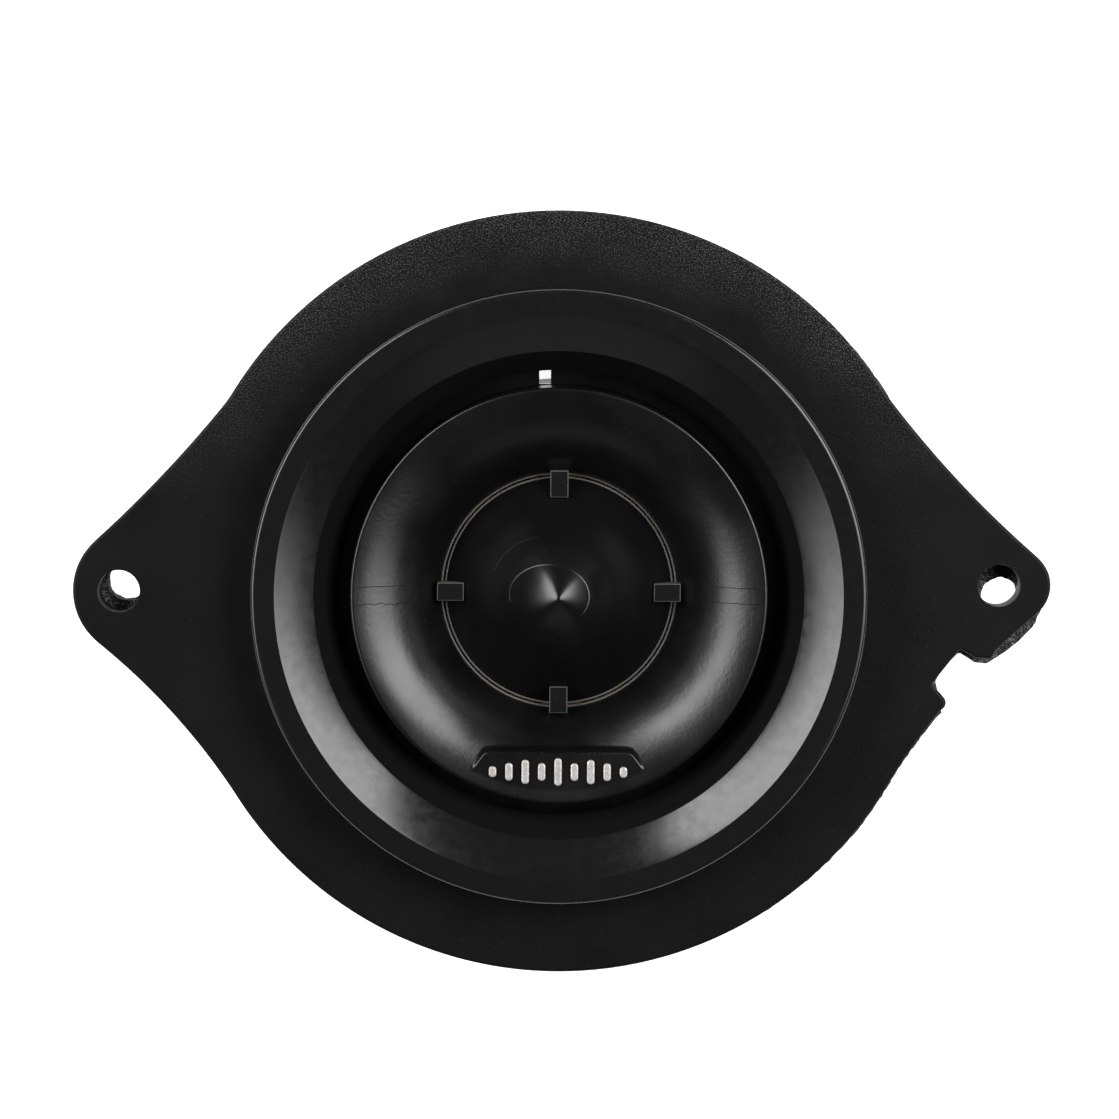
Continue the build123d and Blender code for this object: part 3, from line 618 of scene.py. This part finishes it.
def build_collar():
    """Funnel ring: lip, cone and facet in front, and the spigot that goes through the plate."""
    points = [(SPIGOT_R, 0.0), (LIP_R, 0.0), (LIP_R, LIP_TOP), (CONE_R, LIP_TOP), *CONE, FACET, INNER_LIP,
              (INNER_LIP[0], COLLAR_FOOT_Z), (INNER_LIP[0] + COLLAR_WALL, COLLAR_FOOT_Z),
              (FACET[0] + COLLAR_WALL, -0.6), (SPIGOT_BORE_R, 0.0), (SPIGOT_BORE_R, horn_low.z),
              (SPIGOT_R, horn_low.z)]
    radii = [0, 0.15, 0.6, 0.2, *[0] * len(CONE), 0.12, 0.18, 0.25, 0.3, 0.3, 0.3, 0.2, 0.2]
    verts, faces = lathe(rounded(points, radii, 6), turns=288)
    make_piece("front_collar_look", verts, faces, collar_black, smooth=24,
               replaces=["front_collar"])


SLOT_R, SLOT_Z = 14.1, -5.2
RIM_R, RIM_Z = 24.8, horn_high.z
RIM_SLOPE, SLOT_SLOPE = 10.0, 62.8
PAD_TOP_Y, PAD_HALF_W = -18.2, 9.0
PAD_Z = bars_low.z
PAD_EDGE = 0.5
PAD_BELOW_Y = -14              # the flare is left alone above this line
RIM_ROUND = 0.35
FLANGE_R, SKIRT_IN_R, THROAT_WALL_R, THROAT_IN_R = 31.0, 23.0, 16.6, 15.0
SIGHT_LEFT, SIGHT_RIGHT, SIGHT_OUT_R = -2.2, -0.8, 27.6


def flare_z(r):
    """Height of the horn's flare at radius r, on one arc from slot to rim."""
    start, end = sin(radians(SLOT_SLOPE)), sin(radians(RIM_SLOPE))
    arc_r = (RIM_R - SLOT_R) / (start - end)
    slope = asin(max(-1, min(1, start - (r - SLOT_R) / arc_r)))
    return RIM_Z - arc_r * (cos(radians(RIM_SLOPE)) - cos(slope))


def smooth_step(t):
    """0 to 1 with soft ends, for t from 0 to 1."""
    t = max(0.0, min(1.0, t))
    return t * t * (3 - 2 * t)


def pad_cover(x, y):
    """1 on top of the badge pad, 0 outside it, and between on its flanks."""
    inside = [PAD_TOP_Y - y] + [(PAD_HALF_W + side * x - 0.62 * (y - PAD_TOP_Y)) * 0.85 for side in (1, -1)]
    sharp = 6.0
    distance = -log2(sum(2 ** (-sharp * d) for d in inside)) / sharp
    return smooth_step(distance / PAD_EDGE)


def build_horn():
    """Flare with the badge pad raised out of it, its flange, and the sight notch in the rim."""
    steps = 75
    inner = SLOT_R + 0.16
    flare = [inner + (RIM_R - RIM_ROUND - inner) * k / steps for k in range(steps + 1)]
    front = [(r, flare_z(r)) for r in flare]
    lip = rounded([(THROAT_IN_R, horn_low.z), (SLOT_R, SLOT_Z - 0.05), front[0]], [0, 0.18, 0], 6)[1:-1]
    rim = [(RIM_R - RIM_ROUND + RIM_ROUND * sin(a), front[-1][1] - RIM_ROUND + RIM_ROUND * cos(a))
           for a in (radians(15 * k) for k in range(1, 7))]
    back = rounded([(RIM_R, -6.5), (FLANGE_R, -6.5), (FLANGE_R, horn_low.z), (SKIRT_IN_R, horn_low.z),
                    (SKIRT_IN_R, 0.2), (20.5, -0.9), (THROAT_WALL_R, -4.0), (THROAT_WALL_R, horn_low.z),
                    (THROAT_IN_R, horn_low.z)],
                   [0.6, 0.3, 0.3, 0.2, 0.5, 0.5, 0.5, 0.2, 0.2], 3)
    outline = front + rim + back + lip
    # closer steps around the foot, where the pad's flanks are
    fine = [radians(-125 + 70 * k / 320) for k in range(320)]
    coarse = [radians(-55 + 290 * k / 220) for k in range(220)]
    verts, faces = lathe(outline, fine + coarse)
    n = len(outline)
    shaped = []
    for k, (x, y, z) in enumerate(verts):
        if k % n < len(front) and y < PAD_BELOW_Y:
            z += pad_cover(x, y) * max(0.0, PAD_Z - z)
        shaped.append((x, y, z))
    horn = make_piece("horn_body_look", turned(shaped, TWEETER_TURN), faces, horn_black, smooth=40,
                      replaces=["horn_body"])
    notch = rectangle(SIGHT_LEFT, RIM_R, SIGHT_RIGHT, SIGHT_OUT_R)
    verts, faces, _ = prism([notch], [(horn_low.z - 1, 0), (-6.0, 0)])
    boolean(horn, make_object("sight_tool", verts, faces, horn_black), "DIFFERENCE")


TIP_BLUNT = 0.07
PLUG_R, TIP_Z = 13.6, plug_high.z + TIP_BLUNT
PLUG_FOOT_Z = -9.0
HOLLOW_R, HOLLOW_RISE = 12.9, 3.2
KNEE_R = 4.5
TIP_SLOPE, KNEE_SLOPE = 25.0, 39.6


def arc_drop(slope, along, arc_r):
    """How far an arc that starts at a slope has dropped after a radial distance."""
    return arc_r * (cos(radians(slope)) - cos(asin(sin(radians(slope)) + along / arc_r)))


def bullet_z(r):
    """Height of the bullet at radius r, on a tight arc near the tip and a long one below it."""
    tip_arc = KNEE_R / (sin(radians(KNEE_SLOPE)) - sin(radians(TIP_SLOPE)))
    if r < KNEE_R:
        return TIP_Z - arc_drop(TIP_SLOPE, r, tip_arc)
    knee_z = TIP_Z - arc_drop(TIP_SLOPE, KNEE_R, tip_arc)
    across, down = PLUG_R - KNEE_R, knee_z - SLOT_Z
    end = 2 * degrees(atan2(down, across)) - KNEE_SLOPE
    side_arc = across / (sin(radians(end)) - sin(radians(KNEE_SLOPE)))
    return knee_z - arc_drop(KNEE_SLOPE, r - KNEE_R, side_arc)


def build_plug():
    """Pointed bullet with a blunt tip, and a hollow behind that follows the dome."""
    steps = 60
    radii = [(PLUG_R - 0.2) * k / steps for k in range(1, steps + 1)]
    top = [(r, bullet_z(r)) for r in radii]
    tip = [(0.0, TIP_Z - TIP_BLUNT)]
    edge = rounded([top[-1], (PLUG_R, SLOT_Z), (13.1, PLUG_FOOT_Z)], [0, 0.16, 0], 6)[1:]
    edge += [(HOLLOW_R, PLUG_FOOT_Z)]
    outward = [1 - k / 16 for k in range(1, 17)]
    under = [(HOLLOW_R * t, PLUG_FOOT_Z + HOLLOW_RISE * (1 - t ** 2)) for t in outward]
    verts, faces = lathe(tip + top + edge + under, turns=224)
    make_piece("phase_plug_look", turned(verts, TWEETER_TURN), faces, plug_black, smooth=40,
               replaces=["phase_plug"])


TAB_W, TAB_IN, TAB_OUT, TAB_TOP, TAB_FOOT = 2.17, 11.4, 14.6, -2.6, -6.7


def build_tabs():
    """Four square-topped tabs that carry the bullet, cut off flat by the gate cutter."""
    half = TAB_W / 2
    loop = rounded(rectangle(TAB_IN, -half, TAB_OUT, half), [0.1] * 4, 3)
    for k, name in enumerate(("right", "top", "left", "foot")):
        levels = [(TAB_FOOT, 0), (TAB_TOP - 0.09, 0), (TAB_TOP - 0.03, 0.03), (TAB_TOP, 0.1)]
        verts, faces, walls = prism([loop], levels)
        slots = [1] * walls + [0] * (len(faces) - walls)
        verts = turned(verts, k * pi / 2 + TWEETER_TURN)
        make_piece(f"plug_tab_{name}", verts, faces, [tab_gray, tab_edge],
                   face_slots=slots)


def build_slot_edges():
    """Painted highlight on the two edges of the slot, the horn's throat and the bullet's rim: thin pale
    rings that stand in for the light line along the slot.
    """
    for name, r, z, half, height in (("throat_edge", SLOT_R + 0.07, SLOT_Z + 0.02, 0.18, 0.1),
                                     ("bullet_edge", PLUG_R + 0.05, SLOT_Z - 0.02, 0.13, 0.06)):
        outline = [(r - half, z - 0.06), (r + half, z - 0.06), (r + half * 0.6, z + height * 0.8),
                   (r, z + height), (r - half * 0.6, z + height * 0.8)]
        verts, faces = lathe(outline, turns=224)
        make_piece(name, turned(verts, TWEETER_TURN), faces, painted_highlight_gray, smooth=60)


def build_ridge(name, path, width, height, material):
    """Thin raised line that follows points on a surface."""
    verts, faces = [], []
    for k, p in enumerate(path):
        ahead = Vector(path[min(k + 1, len(path) - 1)]) - Vector(path[max(k - 1, 0)])
        side = Vector((-ahead.y, ahead.x, 0)).normalized() * width / 2
        taper = smooth_step(min(k, len(path) - 1 - k) / 4)
        p = Vector(p)
        foot = Vector((0, 0, 0.3 * height))
        verts += [tuple(p - side - foot), tuple(p + Vector((0, 0, height * taper))), tuple(p + side - foot)]
    for k in range(len(path) - 1):
        a, b = 3 * k, 3 * k + 3
        faces += [(a, a + 1, b + 1, b), (a + 1, a + 2, b + 2, b + 1), (a + 2, a, b, b + 2)]
    faces += [(0, 2, 1), tuple(3 * len(path) - 3 + k for k in (0, 1, 2))]
    make_piece(name, turned(verts, TWEETER_TURN), faces, material, smooth=20)


def build_witness_lines():
    """Mould parting lines across the flare, two on each side, one of them clearly wavy."""
    for side, level, wave in ((1, 1.0, 0.0), (1, -0.85, 0.02), (-1, 1.0, 0.0), (-1, -1.1, 0.16)):
        path = []
        for k in range(50):
            x = 17.4 + 6.9 * k / 49
            y = level + wave * noise.noise(Vector((x * 1.3, level, 0))) * 2
            path.append((side * x, y, flare_z(hypot(x, y))))
        where = ("right" if side > 0 else "left") + ("_upper" if level > 0 else "_lower")
        build_ridge(f"witness_line_{where}", path, 0.11, 0.035, horn_black)


def build_swirl():
    """Flow mark around the bullet's tip, off centre, and a fainter arc outside it."""
    for name, centre, radii, start, end in (("swirl_inner", (-1.15, 0.1), (4.7, 3.7), -40, 200),
                                            ("swirl_outer", (-1.3, 1.0), (6.6, 6.0), 95, 165)):
        path = []
        for k in range(90):
            a = radians(start + (end - start) * k / 89)
            x, y = centre[0] + radii[0] * cos(a), centre[1] + radii[1] * sin(a)
            path.append((x, y, bullet_z(hypot(x, y))))
        build_ridge(name, path, 0.2, 0.025, plug_black)


def build_badge():
    """Nine silver bars of different heights, like a level meter."""
    shapes = []
    heights = [1.3, 2.1, 2.9, 2.1, 3.3, 2.1, 2.9, 2.1, 1.3]
    pitch, width = 1.95, 0.9
    for k, h in enumerate(heights):
        x = (k - (len(heights) - 1) / 2) * pitch
        y = (bars_low.y + bars_high.y) / 2
        corners = rectangle(x - width / 2, y - h / 2, x + width / 2, y + h / 2)
        levels = [(PAD_Z - 0.05, 0), (bars_high.z - 0.12, 0), (bars_high.z - 0.03, 0.05),
                  (bars_high.z, 0.15)]
        verts, faces, _ = prism([rounded(corners, [0.4] * 4, 6)], levels)
        shapes.append((verts, faces))
    verts, faces = joined(shapes)
    make_piece("badge_bars_look", turned(verts, TWEETER_TURN), faces, badge_silver, smooth=50,
               replaces=["badge_bars"])


def build_surround():
    """Film with one roll, from the coil former out to its clamped land."""
    land_in, roll_in, roll_out, land_out = 12.62, 13.5, 14.9, 23.0
    rise, thick = 0.6, 0.12
    low = film_low.z
    mid, half = (roll_in + roll_out) / 2, (roll_out - roll_in) / 2
    bends = [pi * k / 14 for k in range(15)]
    under = [(mid - half * cos(a), low + rise * sin(a)) for a in bends]
    over = [(mid + (half + thick) * cos(a), low + thick + rise * sin(a)) for a in bends]
    outline = [(land_in, low), *under, (land_out, low), (land_out, low + thick), *over,
               (land_in, low + thick)]
    verts, faces = lathe(outline, turns=160)
    make_piece("surround_look", verts, faces, amber, replaces=["surround"])


# ---- fasteners ----------------------------------------------------------

def cross_head(head_r, head_h, shank_r, length, flat=False):
    """Screw along +Z with its head below z = 0 and a cross recess in the head."""
    radial, around = 20, 72
    verts, faces = [], []
    drop = 0.28 * head_h
    arm, reach, depth = head_r * 0.15, head_r * 0.62, head_h * 0.5

    def face_z(x, y):
        r = hypot(x, y) / head_r
        crown = 0.0 if flat else drop * r ** 3
        upright = max(abs(x) - arm, 0) + max(abs(y) - reach, 0)
        level = max(abs(y) - arm, 0) + max(abs(x) - reach, 0)
        return -head_h + crown + depth * (1 - smooth_step(min(upright, level) / (0.1 * head_r)))

    verts.append((0, 0, face_z(0, 0)))
    for i in range(1, radial + 1):
        ring = circle_points(0, 0, head_r * 0.96 * i / radial, around)
        verts += [(x, y, face_z(x, y)) for x, y in ring]
    rings = [(head_r, -head_h + (drop if not flat else 0) + 0.12)]
    rings += [(shank_r + 0.05, 0.0)] if flat else [(head_r, 0.0), (shank_r + 0.05, 0.0)]
    rings += [(shank_r, 0.05), (shank_r, length - 0.5), (shank_r * 0.5, length), (0.01, length)]
    for r, z in rings:
        verts += [(x, y, z) for x, y in circle_points(0, 0, r, around)]
    count = radial + len(rings)
    faces += [(0, 1 + (j + 1) % around, 1 + j) for j in range(around)]
    for i in range(count - 1):
        for j in range(around):
            a, b = 1 + i * around + j, 1 + i * around + (j + 1) % around
            faces.append((a, b, b + around, a + around))
    faces.append(tuple(1 + (count - 1) * around + j for j in range(around)))
    return verts, faces


def screw_group(node, screw, places):
    """Copies of one dark screw, as the piece that stands for a CAD node."""
    verts, faces = joined([moved(screw, m) for m in places])
    make_piece(node + "_look", verts, faces, screw_dark, smooth=35, replaces=[node])


def ring_places(r, z, count, start):
    """Placements around the axis, each turned a little differently."""
    made = []
    for k in range(count):
        a = radians(start + 360 * k / count)
        spin = Matrix.Rotation(1.7 * k + start, 4, "Z")
        made.append(Matrix.Translation((r * cos(a), r * sin(a), z)) @ spin)
    return made


COVER_SCREW_RING = 15.5
COVER_HEAD_H = 1.15
BOARD_Z = -17.75               # height of the middle of the terminal board
BOARD_SCREW_X = (-8.0, 8.0)


def build_screws():
    screw_group("collar_screws", cross_head(1.95, 1.3, 1.0, 7.4), ring_places(35.0, plate_low.z, 4, 0))
    screw_group("horn_screws", cross_head(1.9, 1.4, 1.0, 6.9), ring_places(29.4, horn_low.z, 4, 45))
    screw_group("cover_screws", cross_head(2.4, COVER_HEAD_H, 1.2, 3.2, flat=True),
                ring_places(COVER_SCREW_RING, cover_low.z + COVER_HEAD_H, 3, 90))
    aim = Matrix.Rotation(radians(-90), 4, "X")
    places = [Matrix.Translation((x, board_low.y, BOARD_Z)) @ aim @ Matrix.Rotation(x, 4, "Z")
              for x in BOARD_SCREW_X]
    screw_group("board_screws", cross_head(1.4, 0.9, 0.75, 3.5), places)


# ---- rear cover and terminals -------------------------------------------

COVER_WALL, COVER_FLOOR = 1.2, 1.8
COVER_RECESS = 0.45            # the label area inside the cover's rear rim
POD_HALF_W, POD_FOOT_Y, POD_TOP_Y = 10.0, -27.0, -22.9
POD_LOW_Z, POD_HIGH_Z = -23.0, -12.5
WINDOW_HALF_W = 5.5


def build_cover():
    """Cup over the motor with the terminal pod, its window, and sinks for the three screws."""
    outer, inner = cover_high.x, cover_high.x - COVER_WALL
    back = cover_low.z
    floor = back + COVER_FLOOR
    recessed = back + COVER_RECESS
    points = [(0, recessed), (18.6, recessed), (18.9, back), (outer, back), (outer, cover_high.z),
              (inner, cover_high.z), (inner, floor), (0, floor)]
    radii = [0, 0.25, 0.25, 1.0, 0.3, 0.3, 0.3, 0]
    verts, faces = lathe(rounded(points, radii, 5), turns=224)
    cover = make_piece("rear_cover_look", verts, faces, cover_black,
                       replaces=["rear_cover"])

    def work(name, loop, levels, operation):
        verts, faces, _ = prism([loop], levels)
        boolean(cover, make_object(name, verts, faces, cover_black), operation)

    pod = rectangle(-POD_HALF_W, POD_FOOT_Y, POD_HALF_W, POD_TOP_Y)
    pod_levels = fillet_levels(POD_LOW_Z, POD_HIGH_Z, 0.5, 0.5)
    work("pod_tool", rounded(pod, [0.7, 0.7, 0, 0], 4), pod_levels, "UNION")
    window = rectangle(-WINDOW_HALF_W, -28.0, WINDOW_HALF_W, -20.5)
    work("window_tool", window, [(-20.75, 0), (-14.75, 0)], "DIFFERENCE")
    for angle in (90, 210, 330):
        x, y = COVER_SCREW_RING * cos(radians(angle)), COVER_SCREW_RING * sin(radians(angle))
        work("sink_tool", circle_points(x, y, 2.5, 48), [(back - 1, 0), (recessed + 0.4, 0)], "DIFFERENCE")


def wall_plane(y):
    """Placement that stands a flat outline up against the pod, facing away from it."""
    return Matrix.Translation((0, y, 0)) @ Matrix.Rotation(radians(90), 4, "X")


TERMINAL_X = 3.6
BLADE_THICK = 0.8


def build_terminals():
    """Board with two screw holes, a wide and a narrow push-on blade, and their rivets."""
    face = board_low.y
    board = rounded(rectangle(-10, -22.5, 10, -13.0), [0.4] * 4, 3)
    holes = [circle_points(x, BOARD_Z, 0.85, 24, -1) for x in BOARD_SCREW_X]
    verts, faces, _ = prism([board, *holes], fillet_levels(0, 1.2, 0.08, 0.12, 2))
    verts, faces = moved((verts, faces), wall_plane(board_high.y))
    make_piece("terminal_board_look", verts, faces, board_brown,
               replaces=["terminal_board"])
    for name, x, width in (("terminal_positive", TERMINAL_X, 4.75),
                           ("terminal_negative", -TERMINAL_X, 2.8)):
        low, high = span(name)
        left, right, tip = x - width / 2, x + width / 2, low.y
        foot = rounded(rectangle(left, low.z, right, high.z - 0.3), [0.4, 0.4, 0, 0], 3)
        verts, faces, _ = prism([foot], fillet_levels(0, BLADE_THICK, 0.05, 0.1, 2))
        shapes = [moved((verts, faces), wall_plane(face))]
        blade = rounded(rectangle(left, tip, right, face), [0.7, 0.7, 0, 0], 4)
        hole = circle_points(x, tip + 2.4, 0.75, 32, -1)
        levels = fillet_levels(high.z - BLADE_THICK, high.z, 0.12, 0.12, 2)
        verts, faces, _ = prism([blade, hole], levels)
        shapes.append((verts, faces))
        verts, faces = joined(shapes)
        make_piece(name + "_look", verts, faces, tin, replaces=[name])
    rivet = lathe([(0.0, -0.75), (0.55, -0.68), (1.0, -0.45), (1.28, -0.12), (1.3, 0.0), (0.9, 0.0),
                   (0.9, 2.0), (1.25, 2.0), (1.15, 2.45), (0.0, 2.6)], turns=40)
    aim = Matrix.Rotation(radians(-90), 4, "X")
    places = [Matrix.Translation((x, face - BLADE_THICK, BOARD_Z - 1.4)) @ aim
              for x in (-TERMINAL_X, TERMINAL_X)]
    verts, faces = joined([moved(rivet, place) for place in places])
    make_piece("terminal_rivets_look", verts, faces, tin,
               replaces=["terminal_rivets"])


MARK_Y, MARK_LONG, MARK_WIDE = -25.4, 1.8, 0.4


def build_polarity_marks():
    """Raised plus and minus moulded on the pod above the terminals."""
    level, upright = (MARK_LONG, MARK_WIDE), (MARK_WIDE, MARK_LONG)
    for name, x, bars in (("plus_mark", TERMINAL_X, (level, upright)),
                          ("minus_mark", -TERMINAL_X, (level,))):
        shapes = []
        for w, d in bars:
            loop = rectangle(x - w / 2, MARK_Y - d / 2, x + w / 2, MARK_Y + d / 2)
            verts, faces, _ = prism([loop], [(-12.6, 0), (-12.3, 0.02)])
            shapes.append((verts, faces))
        verts, faces = joined(shapes)
        make_piece(name, verts, faces, cover_black)


# ---- put it together ----------------------------------------------------

build_plate()
build_gasket()
build_collar()
build_horn()
build_plug()
build_tabs()
build_slot_edges()
build_witness_lines()
build_swirl()
build_badge()
build_surround()
build_screws()
build_cover()
build_terminals()
build_polarity_marks()

# CAD nodes that are shown as they are, and only get a material
KEPT = {"diaphragm_dome": amber, "voice_coil_former": foil, "voice_coil_winding": copper,
        "horn_seal": seal_gray, "diaphragm_ring": ring_brown, "top_plate": zinc, "motor_magnet": ferrite,
        "back_plate": zinc, "pole_felt": felt_black, "motor_screws": screw_dark,
        "lead_positive": sheath_red, "lead_negative": sheath_black}
for node, material in KEPT.items():
    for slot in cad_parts[node].material_slots:
        slot.material = material


# ---- floor, lights and camera -------------------------------------------

def build_floor():
    """Large pale sheet under the part, with a little glow so it stays pale."""
    s = Shader("studio_floor")
    mottle = s.noise(60.0, detail=3.0)
    s.finish(s.blend(mottle, gray(0.86), gray(0.9)), 0.8, None, specular=0.2)
    s.surface.inputs["Emission Color"].default_value = (1, 1, 1, 1)
    s.surface.inputs["Emission Strength"].default_value = 0.75
    radius, rings, around = 3000.0, 12, 96
    verts = [(0, 0, cover_low.z)]
    for k in range(1, rings + 1):
        r = radius * (k / rings) ** 2
        verts += [(x, y, cover_low.z) for x, y in circle_points(0, 0, r, around)]
    faces = [(0, 1 + j, 1 + (j + 1) % around) for j in range(around)]
    for k in range(rings - 1):
        for j in range(around):
            a, b = 1 + k * around + j, 1 + k * around + (j + 1) % around
            faces.append((a, a + around, b + around, b))
    mesh = bpy.data.meshes.new("floor")
    mesh.from_pydata([(x * MM, y * MM, z * MM) for x, y, z in verts], [], faces)
    mesh.materials.append(s.material)
    floor = bpy.data.objects.new("floor", mesh)
    scene.collection.objects.link(floor)


def softbox(name, azimuth, zenith, distance, width, height, radiance, fade):
    """Rectangular studio light aimed at the origin. Azimuth is counter-clockwise from +X.
    It fades towards its edges over these shares of its size: lower azimuth, higher azimuth, far, near."""
    a, z = radians(azimuth), radians(zenith)
    out = Vector((sin(z) * cos(a), sin(z) * sin(a), cos(z)))
    side = Vector((-sin(a), cos(a), 0))
    up = out.cross(side)
    light = bpy.data.lights.new(name, "AREA")
    light.shape = "RECTANGLE"
    light.size, light.size_y = width, height
    light.energy = radiance * pi * width * height
    light.use_nodes = True
    tree = light.node_tree
    place = tree.nodes.new("ShaderNodeNewGeometry")
    parts = tree.nodes.new("ShaderNodeSeparateXYZ")
    tree.links.new(place.outputs["Parametric"], parts.inputs[0])
    strength = None
    for axis, (low, high) in ((0, fade[:2]), (1, fade[2:])):
        for start, end, first in ((0.0, low, 0.0), (1.0 - high, 1.0, 1.0)):
            ramp = tree.nodes.new("ShaderNodeMapRange")
            ramp.interpolation_type = "SMOOTHSTEP"
            tree.links.new(parts.outputs[axis], ramp.inputs["Value"])
            for key, value in (("From Min", start), ("From Max", end), ("To Min", first),
                               ("To Max", 1.0 - first)):
                ramp.inputs[key].default_value = value
            if strength is None:
                strength = ramp.outputs["Result"]
            else:
                product = tree.nodes.new("ShaderNodeMath")
                product.operation = "MULTIPLY"
                tree.links.new(strength, product.inputs[0])
                tree.links.new(ramp.outputs["Result"], product.inputs[1])
                strength = product.outputs[0]
    tree.links.new(strength, tree.nodes["Emission"].inputs["Strength"])
    obj = bpy.data.objects.new(name, light)
    turn = Matrix((side, up, out)).transposed().to_4x4()
    obj.matrix_world = Matrix.Translation(out * distance) @ turn
    scene.collection.objects.link(obj)


def build_studio():
    """Pale world for the camera but a dim one for the part, and three softboxes."""
    world = bpy.data.worlds.new("studio")
    world.use_nodes = True
    tree = world.node_tree
    dim = tree.nodes["Background"]
    dim.inputs["Color"].default_value = (1, 1, 1, 1)
    dim.inputs["Strength"].default_value = 0.03
    pale = tree.nodes.new("ShaderNodeBackground")
    pale.inputs["Strength"].default_value = 0.95
    path = tree.nodes.new("ShaderNodeLightPath")
    mix = tree.nodes.new("ShaderNodeMixShader")
    tree.links.new(path.outputs["Is Camera Ray"], mix.inputs[0])
    tree.links.new(dim.outputs[0], mix.inputs[1])
    tree.links.new(pale.outputs[0], mix.inputs[2])
    tree.links.new(mix.outputs[0], tree.nodes["World Output"].inputs["Surface"])
    scene.world = world
    softbox("softbox_right", 8.5, 42.5, 0.7, 0.9, 0.43, 8.8, (0.64, 0.13, 0.1, 0.2))
    softbox("softbox_left", 166, 47.5, 0.7, 1.25, 0.3, 9.0, (0.12, 0.55, 0.1, 0.25))
    softbox("fill_below", 270, 68, 0.8, 1.2, 0.4, 0.2, (0.3, 0.3, 0.3, 0.3))
    scene.view_settings.view_transform = "Standard"
    scene.view_settings.look = "None"


CAMERA_TILT = radians(5.2)
CAMERA_ROLL = radians(-0.345)
CAMERA_DISTANCE = 0.476
CAMERA_RISE = 0.00417          # the part sits a little below the middle of the picture
CAMERA_SIDE = 0.0001
FRAME_WIDTH = 0.1334           # width of the view at the part
SENSOR = 36.0


def build_camera():
    """Camera over the front, tilted a little towards the top of the plate."""
    back = Vector((0, sin(CAMERA_TILT), cos(CAMERA_TILT)))
    up = Vector((0, cos(CAMERA_TILT), -sin(CAMERA_TILT)))
    right = Vector((1, 0, 0))
    data = bpy.data.cameras.new("camera")
    data.sensor_width = SENSOR
    data.lens = SENSOR * CAMERA_DISTANCE / FRAME_WIDTH
    data.clip_start = 0.01
    obj = bpy.data.objects.new("camera", data)
    spot = back * CAMERA_DISTANCE + up * CAMERA_RISE + right * CAMERA_SIDE
    turn = Matrix((right, up, back)).transposed().to_4x4() @ Matrix.Rotation(CAMERA_ROLL, 4, "Z")
    obj.matrix_world = Matrix.Translation(spot) @ turn
    scene.collection.objects.link(obj)
    scene.camera = obj


build_floor()
build_studio()
build_camera()
